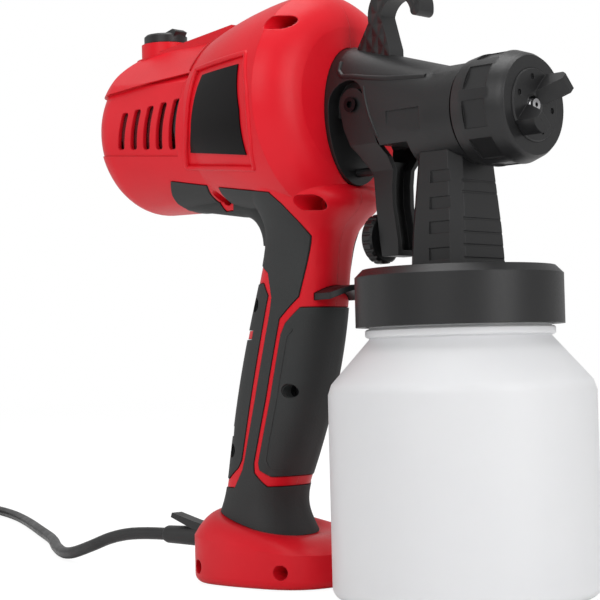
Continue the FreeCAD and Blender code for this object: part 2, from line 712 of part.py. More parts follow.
def handle_solid(inset):
    wires = []
    for height, front, back, half_width, power in handle_sections:
        wires.append(oval_wire(front - inset, back + inset, half_width - inset, power, lambda x, z=height: z))
    loft = Part.makeLoft(wires, True, False)
    r = flare_radius + inset
    cx, cz = flare_centre_x, flare_centre_height
    edges = [
        Part.Arc(point(cx, 0, cz + r), point(cx + r * math.cos(math.pi / 4), 0, cz + r * math.sin(math.pi / 4)), point(cx + r, 0, cz)).toShape(),
        Part.LineSegment(point(cx + r, 0, cz), point(-85, 0, cz)).toShape(),
        Part.LineSegment(point(-85, 0, cz), point(-85, 0, 178)).toShape(),
        Part.LineSegment(point(-85, 0, 178), point(flare_tail_x, 0, 178)).toShape(),
        Part.LineSegment(point(flare_tail_x, 0, 178), point(flare_tail_x, 0, flare_tail_height + inset)).toShape(),
        Part.LineSegment(point(flare_tail_x, 0, flare_tail_height + inset), point(cx, 0, cz + r)).toShape()]
    flare = side_plate(Part.Wire(edges), flare_half_width - inset)

    def is_lower_edge(edge):
        box = edge.BoundBox
        in_side = box.YLength < touch and abs(abs(box.YMin) - (flare_half_width - inset)) < touch
        return in_side and box.XMax < cx + r + touch and box.ZMax < flare_tail_height + inset + touch

    return join([loft, rounded(flare, flare_rounding, is_lower_edge)])


def foot_solid(inset):
    front = foot_front - inset
    back = foot_back + inset
    half = foot_half_width - inset
    crease = slope(foot_back, foot_crease_back - inset * 0.5, foot_front, foot_crease_front - inset * 0.5)
    neck = slope(-124.0, foot_neck_back - inset, -86.0, foot_neck_front - inset)
    low = Part.makeLoft([oval_wire(front, back, half, foot_power, lambda x: inset), oval_wire(front, back, half, foot_power, crease)], True, True)
    if inset == 0:
        low = rounded(low, foot_rounding, lambda edge: edge.BoundBox.ZMax < touch)
    middle = slope(foot_back, (foot_crease_back + foot_neck_back) / 2 + 2.2 - inset, foot_front, (foot_crease_front + foot_neck_front) / 2 + 1.6 - inset)
    wires = [oval_wire(front, back, half, foot_power, crease),
             oval_wire((foot_front - 86.0) / 2 + 2.5 - inset, (foot_back - 124.0) / 2 - 0.8 + inset, (foot_half_width + 18.5) / 2 + 1.5 - inset, 2.9, middle),
             oval_wire(-85.0 - inset, -125.2 + inset, 19.8 - inset, handle_power, neck)]
    return join([low, Part.makeLoft(wires, True, False)])


def case_skin(outer_inset, inner_inset, with_foot):
    """The case between two insets of its outer surface: the drum and the handle, and the foot where asked."""
    makers = [drum_solid, handle_solid] + ([foot_solid] if with_foot else [])
    outer = [make(outer_inset) for make in makers]
    inner = [make(inner_inset) for make in makers]
    return outer[0].fuse(outer[1:]).cut(inner)


main_grip_outline = (
    (-132.6, 169.6), (-104.8, 164.7), (-72.7, 159.8), (-69.1, 154.9), (-66.1, 147.8), (-64.3, 142.0), (-67.8, 129.5), (-71.2, 117.7),
    (-80.4, 109.0), (-89.2, 76.0), (-97.2, 50.0), (-97.4, 46.0), (-93.3, 40.3), (-50.0, 40.3), (-50.0, 14.0), (-66.0, 14.5),
    (-117.0, 26.0), (-140.0, 31.0), (-140.0, 39.8), (-109.0, 39.8), (-104.1, 47.0), (-102.5, 51.5), (-95.5, 76.0), (-85.9, 112.0),
    (-84.9, 118.0), (-87.2, 128.2), (-92.0, 131.0), (-116.0, 133.0), (-141.0, 148.0), (-141.2, 161.0), (-138.5, 164.4))
front_pad_outline = (
    (-71.2, 113.6), (-77.9, 107.3), (-80.3, 102.8), (-87.3, 76.0), (-95.4, 50.0), (-95.2, 47.0), (-91.2, 44.1), (-45.0, 44.1),
    (-45.0, 113.6))
rear_pad_outline = (
    (-89.9, 124.3), (-86.6, 118.9), (-88.0, 114.0), (-97.9, 76.0), (-104.0, 51.0), (-106.4, 47.8), (-113.8, 43.0), (-140.0, 43.0),
    (-140.0, 61.2), (-111.2, 61.2), (-111.2, 64.8), (-140.0, 64.8), (-140.0, 101.4), (-97.9, 101.4), (-97.0, 104.8),
    (-140.0, 104.8), (-140.0, 123.9))
teardrop_outline = (
    (-113.2, 172.0), (-113.4, 165.8), (-115.6, 163.2), (-117.0, 160.2), (-115.0, 156.0), (-110.0, 156.0), (-108.0, 160.6),
    (-107.0, 162.3), (-104.8, 164.7), (-104.6, 172.0))


def outline_plate(outline, shrink):
    """A thick plate with this side view, each of its straight sides moved inwards by shrink."""
    corners = [point(x, 0, z) for x, z in outline]
    following = corners[1:] + corners[:1]
    doubled_area = sum(here.x * after.z - after.x * here.z for here, after in zip(corners, following))
    inwards = math.copysign(1, doubled_area) * shrink
    moved = []
    for before, here, after in zip(corners[-1:] + corners[:-1], corners, following):
        arriving = (here - before).normalize()
        leaving = (after - here).normalize()
        across = point(-arriving.z - leaving.z, 0, arriving.x + leaving.x)
        corner = here + across * (inwards / (1 + arriving.dot(leaving)))
        moved.append((corner.x, corner.z))
    return side_plate(side_profile(moved), 70)


hood_edge = ((-190.0, 208.4), (-113.4, 213.5))
hood_outline = hood_edge + ((-112.3, 217.8), (-112.0, 250.0), (-190.0, 250.0))
vent_panel_outline = hood_edge + ((-114.8, 206.0), (-120.9, 178.6), (-158.8, 182.3), (-190.0, 185.3))
label_outline = (
    (-100.4, 209.7), (-75.0, 210.3), (-72.7, 191.4), (-74.6, 174.1), (-113.2, 179.2), (-108.6, 187.1), (-105.5, 195.7), (-102.6, 204.5))
frame_outline = (
    (-106.0, 212.6), (-71.6, 213.8), (-67.7, 198.7), (-67.7, 188.8), (-69.3, 179.3), (-73.5, 169.3), (-117.4, 174.3), (-112.5, 184.3),
    (-109.0, 194.1), (-107.2, 205.2))


def half(shape, hand):
    return shape.common(block(-400, 100, min(0, hand * 100), max(0, hand * 100), -10, 300))


def long_rod(radius, x, z, reach, y_from, y_to):
    """A rod along Y that is stretched rearwards by reach."""
    ends = [rod(radius, point(at, y_from, z), point(at, y_to, z)) for at in ((x, x - reach) if reach else (x,))]
    if reach:
        ends.append(block(x - reach, x, min(y_from, y_to), max(y_from, y_to), z - radius, z + radius))
    return join(ends)


def screw_posts(hand):
    """Posts for the case screws, from the parting plane into the wall of one half."""
    drum, handle, foot = drum_solid(wall / 2), handle_solid(wall / 2), foot_solid(wall / 2)
    carriers = [drum, drum, handle, handle, handle, handle, foot, foot]
    return [long_rod(screw_boss, x, z, reach, 0, hand * 60).common(carrier)
            for (x, z, reach), carrier in zip(screw_places, carriers)]


def screw_wells():
    return [long_rod(screw_well, x, z, reach, -80, -screw_head_seat) for x, z, reach in screw_places]


def dial_collar():
    tall = rod(dial_collar_radius, point(dial_x, 0, 216), point(dial_x, 0, collar_top))
    step = rod(dial_collar_radius + 2.2, point(dial_x, 0, 216), point(dial_x, 0, 227.5))
    return join([tall, step]).cut(drum_solid(wall)).cut(rod(dial_collar_bore, point(dial_x, 0, 200), point(dial_x, 0, 240)))


def drum_up():
    tilt = math.radians(drum_tilt)
    return point(-math.sin(tilt), 0, math.cos(tilt))


def vent_tools(hand):
    """The shallow panel and the leaning slots of one side's air intake. The panel fades out downwards and rearwards."""
    sunk = drum_solid(0)
    sunk.translate(X * panel_forward - Y * (hand * panel_inwards) - drum_up() * panel_down)
    tools = [half(drum_solid(0).cut(sunk).common(outline_plate(vent_panel_outline, 0)), hand)]
    for index in range(vent_count):
        x = vent_first + index * vent_pitch
        low = vent_low + vent_low_step * index
        high = vent_high + vent_high_step * index
        lean = vent_lean * (high - low)
        places = ((x - vent_width / 2, low), (x + vent_width / 2, low), (x + lean + vent_width / 2, high), (x + lean - vent_width / 2, high))
        slot = half(side_plate(side_profile(places), 60), hand).cut(block(-400, 100, -22, 22, 0, 300))
        tools.append(rounded(slot, vent_rounding, lambda edge: edge.BoundBox.YLength > 5 and edge.BoundBox.ZLength < touch))
    return tools


def flange_seat():
    """The ring that the gun's flange is screwed against, just inside the drum's front."""
    rear = flange_back - seat_thickness
    ring = Part.makeLoft([ellipse_at(x, 3.5) for x in (rear, flange_back + 2)], True, True)
    opening = Part.makeLoft([ellipse_at(x, -6.0) for x in (rear - 1, flange_back + 3)], True, True)
    ring = ring.cut(opening).cut(rod(plunger_radius + assembly_clearance, point(rear - 1, 0, switch_push_height), point(flange_back + 3, 0, switch_push_height)))
    for y, z in gun_screw_places():
        ring = ring.cut(rod(1.5 + assembly_clearance, point(rear - 1, y, z), point(flange_back + 3, y, z)))
    return ring.common(drum_solid(wall / 2))


def make_housing():
    shell = case_skin(0, wall, True)
    seat = flange_seat()
    grip_skin = case_skin(-grip_raise, grip_depth, False)
    foot = foot_solid(0)
    foot_cover = foot_solid(-grip_gap)
    teardrop = outline_plate(teardrop_outline, 0)
    larger_teardrop = outline_plate(teardrop_outline, -grip_gap)
    collar = dial_collar()
    hood = drum_solid(-hood_raise).cut(drum_solid(wall / 2)).common(outline_plate(hood_outline, 0))
    wells = screw_wells()
    flange_wires = [ellipse_at(x, assembly_clearance) for x in (flange_back, flange_front + 6)]
    shared_tools = [Part.makeLoft(flange_wires, True, True), finger_rest_solid(assembly_clearance),
                    rod(dial_collar_bore, point(dial_x, 0, 200), point(dial_x, 0, 240)),
                    rod(sleeve_radius + assembly_clearance, point(foot_back - 5, 0, sleeve_height), point(foot_back + 8, 0, sleeve_height)),
                    rod(sleeve_collar_radius + assembly_clearance, point(foot_back + sleeve_collar_at - assembly_clearance, 0, sleeve_height),
                        point(foot_back + 12, 0, sleeve_height))]
    for x, z, reach in screw_places:
        shared_tools.append(rod(screw_shank + touch, point(x, -screw_head_seat - 1, z), point(x, screw_depth + 1, z)))

    for hand, side in ((-1, "right"), (1, "left")):
        skin = half(grip_skin, hand)
        case = half(shell, hand).fuse([half(collar, hand), half(seat, hand), half(hood, hand)] + screw_posts(hand))
        tools = shared_tools + vent_tools(hand)
        grips = []
        for outline in (main_grip_outline, front_pad_outline, rear_pad_outline):
            zone = outline_plate(outline, 0)
            grip = outline_plate(outline, grip_gap)
            if outline is main_grip_outline:
                zone = zone.cut(teardrop)
                grip = grip.cut(larger_teardrop)
            tools.append(skin.common(zone).cut(foot))
            grip = skin.common(grip).cut([foot_cover] + (wells if hand < 0 else []))
            grips += [solid for solid in grip.Solids if solid.Volume > 20]
        if hand < 0:
            tools += wells
            frame = drum_solid(0).cut(drum_solid(label_recess)).common(outline_plate(frame_outline, 0))
            tools.append(half(frame, hand))
        keep("housing_" + side, biggest(case.cut(tools)))
        keep("grip_" + side, Part.makeCompound(grips))

    label = drum_solid(label_recess - label_thickness).cut(drum_solid(label_recess - touch))
    keep("label_plate", half(label.common(outline_plate(label_outline, 0)), -1))
    make_housing_screws()


def make_housing_screws():
    screws = []
    top = -screw_head_seat - screw_head_height
    for x, z, reach in screw_places:
        head = rod(screw_head, point(x, top, z), point(x, -screw_head_seat, z))
        cross = [block(x - 1.6, x + 1.6, top - 1, top + 1, z - 0.4, z + 0.4), block(x - 0.4, x + 0.4, top - 1, top + 1, z - 1.6, z + 1.6)]
        shank = rod(screw_shank, point(x, -screw_head_seat, z), point(x, screw_depth, z))
        screws.append(join([head, shank]).cut(join(cross)))
    keep("housing_screws", Part.makeCompound(screws))


def biggest(shape):
    return max(shape.Solids, key=lambda solid: solid.Volume)


def ellipse_at(x, grow):
    big = flange_half_height + grow
    small = flange_half_width + grow
    return Part.Wire(Part.Ellipse(point(x, 0, flange_height + big), point(x, small, flange_height), point(x, 0, flange_height)).toShape())


def finger_rest_solid(grow):
    """An arched visor that juts forward over the index finger."""
    half_span = 10.5
    rise = 3.4
    thickness = 2.2
    base = 117.6
    radius = (half_span ** 2 + rise ** 2) / (2 * rise)
    crown = base + rise
    outer = rod(radius + thickness / 2 + grow, point(-74, 0, crown - radius), point(-40, 0, crown - radius))
    inner = rod(radius - thickness / 2 - grow, point(-75, 0, crown - radius), point(-39, 0, crown - radius))
    arch = outer.cut(inner).common(block(-75, -39, -half_span - grow, half_span + grow, base - 2, crown + 5))
    plan = Part.Face(oval_wire(-51.5 + grow, -73.0 - grow, half_span + 0.6 + grow, 2.2, lambda x: 90)).extrude(point(0, 0, 60))
    return arch.common(plan)


# Dial, potentiometer and board

def make_dial():
    base = rod(dial_radius, point(dial_x, 0, dial_bottom), point(dial_x, 0, dial_top))
    base = bevelled(base, 0.9, lambda edge: edge.BoundBox.ZMin > dial_top - touch and edge.Length > dial_radius * 5)
    tab = side_plate(side_profile(((dial_x + 1, dial_top - 1), (dial_x + 3, dial_top + 0.5), (dial_x + dial_radius - 1.5, dial_tab_top),
                                   (dial_x + dial_radius + 0.8, dial_top + 0.5), (dial_x + dial_radius - 0.6, dial_top - 1.6))), 3.4)
    pointer = block(dial_x - 7, dial_x - 1, -0.5, 0.5, dial_top - 0.4, dial_top + 1)
    shaft = rod(dial_shaft_radius, point(dial_x, 0, 224.5), point(dial_x, 0, dial_bottom))
    keep("air_dial", join([base, tab, shaft]).cut(pointer))
    pot = join([block(dial_x - 5.5, dial_x + 5.5, -6, 6, 215.5, 221.5), rod(5.8, point(dial_x, 0, 221.5), point(dial_x, 0, 231.5))])
    pot = pot.cut(rod(dial_shaft_radius + running_clearance, point(dial_x, 0, 224.0), point(dial_x, 0, 240)))
    keep("dial_potentiometer", pot)
    board = block(-152, -116, -9.5, 9.5, 223.2, 224.8)
    chips = [block(-148, -141, -7, 4, 222.0, 223.2), block(-132, -124, -6, 6, 222.0, 223.2)]
    keep("speed_board", join([board] + chips))


# Motor and turbine

def make_motor():
    z = motor_height
    centre = point(0, 0, z)

    def on_axis(x):
        return point(x, 0, z)

    stator = pipe(stator_radius, stator_bore, on_axis(stator_rear), on_axis(stator_front))
    for hand in (-1, 1):
        low, high = sorted((z + hand * 24.6, z + hand * 40))
        stator = stator.cut(block(-200, 0, -40, 40, low, high))
    keep("motor_stator", stator)
    coils = []
    for hand in (-1, 1):
        for rear, front in ((stator_rear - 5.5, stator_rear), (stator_front, stator_front + 5.0)):
            ring = pipe(24.0, 18.0, on_axis(rear), on_axis(front))
            low, high = sorted((hand * 3, hand * 40))
            coils.append(ring.common(block(-200, 0, -17, 17, z + low, z + high)))
    keep("field_coils", Part.makeCompound(coils))
    armature = pipe(rotor_radius, shaft_radius + touch, on_axis(stator_rear - 1), on_axis(stator_front + 1))
    for step in range(12):
        groove = block(-200, 0, -0.9, 0.9, z + rotor_radius - 3, z + rotor_radius + 2)
        groove.rotate(centre, X, 30 * step)
        armature = armature.cut(groove)
    keep("armature", armature)
    commutator_front = commutator_rear + commutator_length
    keep("commutator", pipe(commutator_radius, shaft_radius + touch, on_axis(commutator_rear), on_axis(commutator_front)))
    keep("motor_shaft", rod(shaft_radius, on_axis(shaft_rear), on_axis(shaft_front)))
    for name, at in (("rear_bearing", rear_bearing_at), ("front_bearing", front_bearing_at)):
        keep(name, pipe(bearing_radius, shaft_radius + running_clearance, on_axis(at), on_axis(at + bearing_width)))

    # Brackets that carry the bearings and the stator
    front = pipe(36.0, bearing_radius + touch, on_axis(front_bearing_at + 1), on_axis(front_bearing_at + 4))
    hub = pipe(11.5, bearing_radius + touch, on_axis(front_bearing_at), on_axis(front_bearing_at + bearing_width))
    front = join([front, hub])
    for step in range(6):
        hole = rod(6.0, point(front_bearing_at - 5, 0, z + 22), point(front_bearing_at + 10, 0, z + 22))
        hole.rotate(centre, X, 60 * step + 30)
        front = front.cut(hole)
    keep("front_bracket", front.common(drum_solid(wall + assembly_clearance)))
    rear = join([pipe(11.5, bearing_radius + touch, on_axis(rear_bearing_at), on_axis(rear_bearing_at + bearing_width)),
                 block(rear_bearing_at + 1, rear_bearing_at + 5, -40, 40, z - 5, z + 5)])
    rear = rear.cut(rod(bearing_radius + touch, on_axis(-180), on_axis(-150)))
    keep("rear_bracket", rear.common(drum_solid(wall + assembly_clearance)))
    ring = pipe(33.4, stator_radius + touch, on_axis(-124), on_axis(-119))
    ring = ring.cut(block(-200, 0, -40, 40, z + 24.6, z + 40)).cut(block(-200, 0, -40, 40, z - 40, z - 24.6))
    keep("stator_ring", ring.common(drum_solid(wall + assembly_clearance)))

    brushes, holders = [], []
    brush_x = commutator_rear + commutator_length / 2
    for hand in (-1, 1):
        near, far = sorted((hand * (commutator_radius + soft_clearance), hand * 22))
        brushes.append(block(brush_x - 2.5, brush_x + 2.5, near, far, z - 3, z + 3))
        near, far = sorted((hand * 13, hand * 26))
        box = block(brush_x - 4, brush_x + 4, near, far, z - 4.5, z + 4.5)
        near, far = sorted((hand * 12, hand * 23))
        holders.append(box.cut(block(brush_x - 2.5 - touch, brush_x + 2.5 + touch, near, far, z - 3 - touch, z + 3 + touch)))
    keep("carbon_brushes", Part.makeCompound(brushes))
    keep("brush_holders", Part.makeCompound(holders))

    # Impeller: two discs with swept blades between them
    disc = pipe(impeller_radius, shaft_radius + touch, on_axis(impeller_rear + 12.4), on_axis(impeller_front))
    front_ring = pipe(impeller_radius, 13.0, on_axis(impeller_rear), on_axis(impeller_rear + 1.4))
    hub = pipe(7.0, shaft_radius + touch, on_axis(impeller_rear + 4), on_axis(impeller_front))
    pieces = [disc, front_ring, hub]
    for step in range(impeller_blades):
        blade = pipe(26.0, 24.9, point(impeller_rear + 1, 20.0, z + 6.0), point(impeller_front - 1, 20.0, z + 6.0))
        blade = blade.common(block(-200, 0, -40, 10, z, z + 40)).common(pipe(impeller_radius - 0.2, 12.0, on_axis(-100), on_axis(-78)))
        blade.rotate(centre, X, 360 * step / impeller_blades)
        pieces.append(blade)
    keep("impeller", join(pieces))
    nut = turned([(impeller_front, shaft_radius + touch), (impeller_front, 5.5), (impeller_front + 3.6, 5.5), (impeller_front + 3.6, shaft_radius + touch)], centre, X)
    keep("impeller_nut", nut)
    shroud = join([pipe(shroud_radius, shroud_radius - shroud_wall, on_axis(impeller_rear - 2.2), on_axis(impeller_front + 2.5)),
                   pipe(shroud_radius, 14.0, on_axis(impeller_rear - 2.2), on_axis(impeller_rear - 1.0)),
                   pipe(42.6, shroud_radius - shroud_wall, on_axis(impeller_front + 1.1), on_axis(impeller_front + 2.5))])
    keep("fan_shroud", shroud.common(drum_solid(wall + assembly_clearance)))

    foam = pipe(33.2, 30.4, on_axis(-157), on_axis(-127)).common(drum_solid(wall + assembly_clearance))
    foam = foam.common(block(-200, 0, -60, 60, z - 14, z + 8)).cut(block(-200, 0, -20, 20, 100, 300))
    keep("intake_filters", Part.makeCompound(foam.Solids))


# Switch, capacitor and wiring in the handle

def make_electrics():
    switch_front = flange_back - 4.0
    body = block(switch_front - 17, switch_front, -5, 5, 163.6, 176.0)
    body = body.cut(rod(plunger_radius + running_clearance, point(switch_front - 8, 0, switch_push_height), point(switch_front + 1, 0, switch_push_height)))
    terminals = [block(x, x + 3.2, -0.4, 0.4, 159.6, 163.6) for x in (switch_front - 15, switch_front - 9.6, switch_front - 5)]
    keep("microswitch", join([body] + terminals))
    keep("capacitor", rounded(block(-89.2, -80.5, -8, 8, 118, 141), 2.0, lambda edge: edge.BoundBox.ZLength > 20))

    # Lead clamp: a strip over the lead and a block under it that stands on the foot's floor
    clamp_x0 = -115.0
    clamp_x1 = -107.0
    clamp_half_width = 13.0
    clamp_bite = cord_radius - 1.0
    clamp_top = sleeve_height + cord_radius + 3.2
    screw_bottom = 8.0
    lead = rod(cord_radius + touch, point(foot_back, 0, sleeve_height), point(-90, 0, sleeve_height))
    strip = block(clamp_x0, clamp_x1, -clamp_half_width, clamp_half_width, sleeve_height + clamp_bite, clamp_top).cut(lead)
    base = block(clamp_x0, clamp_x1, -clamp_half_width, clamp_half_width, wall, sleeve_height - clamp_bite).cut(lead)
    screws = []
    for hand in (-1, 1):
        x = (clamp_x0 + clamp_x1) / 2
        y = hand * 9.5
        head = rod(2.6, point(x, y, clamp_top), point(x, y, clamp_top + 2))
        shank = rod(1.4, point(x, y, screw_bottom), point(x, y, clamp_top))
        hole = rod(1.4 + touch, point(x, y, screw_bottom - 1), point(x, y, clamp_top + 1))
        screws.append(join([head, shank]))
        strip = strip.cut(hole)
        base = base.cut(hole)
    keep("cord_clamp", strip)
    keep("clamp_base", base)
    keep("clamp_screws", Part.makeCompound(screws))
    route = [(sleeve_end, sleeve_height), (-101.0, sleeve_height), (-96.5, 26.0), (-97.0, 70.0), (-76.0, 112.0), (-73.5, 158.0)]
    keep("inner_lead", tube_along([point(x, 0, z) for x, z in route], cord_radius, False))


# Lead: sleeve, free stretch, coil, tail, tie and plug

def tube_along(places, radius, report=True):
    """A round tube along straight runs joined by tangent arcs."""
    edges = []
    start = places[0]
    for before, corner, after in zip(places, places[1:], places[2:]):
        into = corner.sub(before)
        out = after.sub(corner)
        turn = into.getAngle(out)
        shorter = min(into.Length, out.Length)
        bend = 0.45 * shorter / math.tan(turn / 2)
        setback = 0.45 * shorter
        into.normalize()
        out.normalize()
        first = corner.sub(into * setback)
        last = corner.add(out * setback)
        inward = out.sub(into)
        inward.normalize()
        middle = corner.add(inward * (bend / math.cos(turn / 2) - bend))
        edges.append(Part.LineSegment(start, first).toShape())
        edges.append(Part.Arc(first, middle, last).toShape())
        start = last
        if report:
            print("bend radius %.1f, turn %.1f degrees" % (bend, math.degrees(turn)))
    edges.append(Part.LineSegment(start, places[-1]).toShape())
    path = Part.Wire(edges)
    heading = places[1].sub(places[0])
    section = Part.Wire(Part.Circle(places[0], heading, radius).toShape())
    tube = path.makePipeShell([section], True, False)
    if report:
        print("tube volume %.1f, section times length %.1f, length %.1f" % (tube.Volume, math.pi * radius ** 2 * path.Length, path.Length))
    return tube


def tangent_arc(start, heading, end):
    """The arc from start, along heading, to end, and the heading at its end."""
    chord = end.sub(start)
    reach = chord.Length
    unit = chord * (1 / reach)
    sine = heading.cross(unit).Length
    cosine = heading.dot(unit)
    angle = math.atan2(sine, cosine)
    aside = heading.sub(unit * cosine)
    aside.normalize()
    middle = start.add(chord * 0.5).add(aside * (reach / 2 * math.tan(angle / 2)))
    leaving = unit * (2 * cosine) - heading
    return Part.Arc(start, middle, end).toShape(), leaving


def coil_stations():
    """Where each half turn of the coil starts: radius from the centre line and height, first in and then out."""
    low = cord_radius + coil_lift
    radii = [coil_outer_radius - coil_pitch / 2 * step for step in range(coil_half_turns)]
    radii[-1] -= coil_climb_inset
    stations = [(r, low) for r in radii]
    stations += [(r, low + coil_layer) for r in reversed(radii)]
    return stations


def coil_point(index, radius, height):
    angle = math.radians(coil_start_angle) + math.pi * index
    return point(coil_centre[0] + radius * math.cos(angle), coil_centre[1] + radius * math.sin(angle), height)


def coil_heading(index):
    angle = math.radians(coil_start_angle) + math.pi * index + math.pi / 2
    return point(math.cos(angle), math.sin(angle), 0)


def make_coil():
    stations = coil_stations()
    edges = []
    for index, ((r0, z0), (r1, z1)) in enumerate(zip(stations, stations[1:])):
        start = coil_point(index, r0, z0)
        end = coil_point(index + 1, r1, z1)
        heading = coil_heading(index)
        reach = end.sub(start).Length / 2
        joint = start.add(end) * 0.5 + heading * reach
        first, leaving = tangent_arc(start, heading, joint)
        second, leaving = tangent_arc(joint, leaving, end)
        edges += [first, second]
    path = Part.Wire(edges)
    section = Part.Wire(Part.Circle(coil_point(0, *stations[0]), coil_heading(0), cord_radius).toShape())
    coil = path.makePipeShell([section], True, False)
    samples = path.discretize(Distance=2.0)
    least = 1000.0
    skip = int(coil_outer_radius)
    for first in range(len(samples)):
        for second in range(first + skip, len(samples)):
            least = min(least, samples[first].distanceToPoint(samples[second]))
    print("coil length %.1f, least gap between its turns %.2f" % (path.Length, least - 2 * cord_radius))
    keep("cord_coil", coil)
    return coil_point(0, *stations[0]), coil_point(len(stations) - 1, *stations[-1]), coil_heading(len(stations) - 1)


def make_lead():
    start, end, leaving = make_coil()
    heading = coil_heading(0)
    places = [point(sleeve_end, 0, sleeve_height), point(-188, 0, sleeve_height), point(-207, 0, 13.7), point(-222, 0, 8.6), point(-245, 4, 2.9),
              point(-280, 26, 2.8), point(-317, 54, 2.8), point(-357, 79, 2.8), point(-425, 122, 2.8), point(-477, 152, 2.8)]
    places += [start.sub(heading * 45.0), start]
    keep("cord", tube_along(places, cord_radius))

    plug_z = plug_height / 2
    down = point(0, 0, plug_z - end.z)
    bend_at = end.add(leaving * 14.0)
    sink_at = end.add(leaving * 40.0).add(down)
    leaving = FreeCAD.Rotation(Z, plug_turn).multVec(leaving)
    plug_at = sink_at.add(leaving * 30.0)
    keep("cord_tail", tube_along([end, bend_at, sink_at, plug_at], cord_radius))
    print("plug at", plug_at, "heading", leaving)

    # Plug: a flat tapered body with a soft neck and two pins
    aside = leaving.cross(Z)

    def plug_ring(along, width, height):
        c = plug_at.add(leaving * along)
        corners = [c.add(aside * (a * width / 2)).add(Z * (b * height / 2)) for a, b in
                   ((-1, -0.5), (-0.8, -1), (0.8, -1), (1, -0.5), (1, 0.5), (0.8, 1), (-0.8, 1), (-1, 0.5))]
        return Part.makePolygon(corners + [corners[0]])

    neck_length = 14.0
    neck = Part.makeLoft([plug_ring(0, 7.5, 7.5), plug_ring(neck_length, 12, 11)], True, True)
    body = Part.makeLoft([plug_ring(neck_length, 12, 11), plug_ring(neck_length + 8, plug_width, plug_height), plug_ring(neck_length + plug_length, plug_width + 3, plug_height)], True, True)
    keep("plug_body", join([neck, body]))
    pins = []
    face = plug_at.add(leaving * (neck_length + plug_length))
    for hand in (-1, 1):
        root = face.add(aside * (hand * pin_spacing / 2))
        pin = rod(plug_pin_radius, root, root.add(leaving * plug_pin_length))
        pins.append(bevelled(pin, 0.8, lambda edge: edge.CenterOfMass.sub(root).dot(leaving) > plug_pin_length - touch))
    keep("plug_pins", Part.makeCompound(pins))

    # Tie: a flat strap round the coil's section
    inner_edge = coil_outer_radius - coil_pitch / 2 * (coil_half_turns - 1) - coil_climb_inset - cord_radius - tie_gap
    inner_low = math.sqrt(inner_edge ** 2 - (tie_width / 2) ** 2)
    inner_high = coil_outer_radius + cord_radius + tie_gap
    low = coil_lift - tie_gap
    high = coil_lift + 2 * cord_radius + coil_layer + tie_gap
    tie = block(inner_low - tie_thickness, inner_high + tie_thickness, -tie_width / 2, tie_width / 2, low - tie_thickness, high + tie_thickness)
    tie = tie.cut(block(inner_low, inner_high, -tie_width, tie_width, low, high))
    tie.rotate(point(0, 0, 0), Z, coil_start_angle + 150)
    tie.translate(point(coil_centre[0], coil_centre[1], 0))
    keep("cord_tie", tie)


def make_sleeve():
    root = foot_back + sleeve_root_at
    collar = foot_back + sleeve_collar_at
    outline = [(root, cord_radius + touch), (root, sleeve_collar_radius), (collar, sleeve_collar_radius), (collar, sleeve_radius),
               (foot_back, sleeve_radius), (sleeve_end + 1.0, 3.9), (sleeve_end, 3.6), (sleeve_end, cord_radius + touch)]
    sleeve = turned(outline, point(0, 0, sleeve_height), X)
    fin = side_plate(side_profile(((-143.0, 19.4), (-150.0, 19.6), (-163.8, 24.4), (-163.0, 26.4), (-150.5, 23.4), (-137.0, 20.6))), 3.0)
    fin = fin.cut(rod(cord_radius + 0.6, point(-180, 0, sleeve_height), point(-120, 0, sleeve_height)))
    keep("cord_sleeve", join([sleeve, fin]))


def make_gun_screws():
    screws = []
    for y, z in gun_screw_places():
        head = rod(2.9, point(flange_back - seat_thickness - 2, y, z), point(flange_back - seat_thickness, y, z))
        shank = rod(1.5, point(flange_back - seat_thickness, y, z), point(flange_front - 2, y, z))
        screws.append(join([head, shank]))
    keep("gun_screws", Part.makeCompound(screws))


def main():
    make_cup()
    make_lid()
    make_gun_body()
    make_neck()
    make_hook()
    make_front_end()
    make_trigger()
    make_gun_screws()
    make_housing()
    rest = finger_rest_solid(0)
    keep("finger_rest", rest)
    make_dial()
    make_motor()
    make_electrics()
    make_sleeve()
    make_lead()
    os.makedirs("parts", exist_ok=True)
    for name, shape in nodes.items():
        shape.exportStep(os.path.join("parts", name + ".step"))
        print("%-20s solids %2d volume %10.1f valid %s" % (name, len(shape.Solids), shape.Volume, shape.isValid()))


main()
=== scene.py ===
# %% [markdown]
# # A hand-held electric paint sprayer
# The CAD model brings every solid piece of the sprayer at its real size and place. This file dresses it: it lays the
# mains lead as one smooth curve, shades the pieces smooth, gives each one the finish of its real material, lines the
# screw wells with black rubber as painted shade, adds the soft raised lines that moulded cases have, and sets up a
# small photo studio.
# Lengths are written in millimetres and turned to metres.

# %% Load the imported model
import math

import bpy
from mathutils import Matrix, Vector


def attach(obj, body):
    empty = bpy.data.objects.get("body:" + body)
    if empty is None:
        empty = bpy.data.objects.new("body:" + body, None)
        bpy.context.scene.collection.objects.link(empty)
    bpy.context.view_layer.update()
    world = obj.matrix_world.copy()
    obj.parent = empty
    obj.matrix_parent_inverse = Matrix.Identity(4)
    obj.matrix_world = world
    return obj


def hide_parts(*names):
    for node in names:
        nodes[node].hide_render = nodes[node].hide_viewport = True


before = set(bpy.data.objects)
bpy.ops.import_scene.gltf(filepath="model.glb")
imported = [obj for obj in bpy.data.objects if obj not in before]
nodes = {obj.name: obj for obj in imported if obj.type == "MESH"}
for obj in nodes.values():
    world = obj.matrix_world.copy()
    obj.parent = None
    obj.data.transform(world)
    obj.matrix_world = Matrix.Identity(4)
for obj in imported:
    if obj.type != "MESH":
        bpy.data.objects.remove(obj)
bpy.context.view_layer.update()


# %% Lengths and colours
def mm(*values):
    """Millimetres to metres: one number, or a point."""
    if len(values) == 1:
        return values[0] / 1000
    return Vector([value / 1000 for value in values])


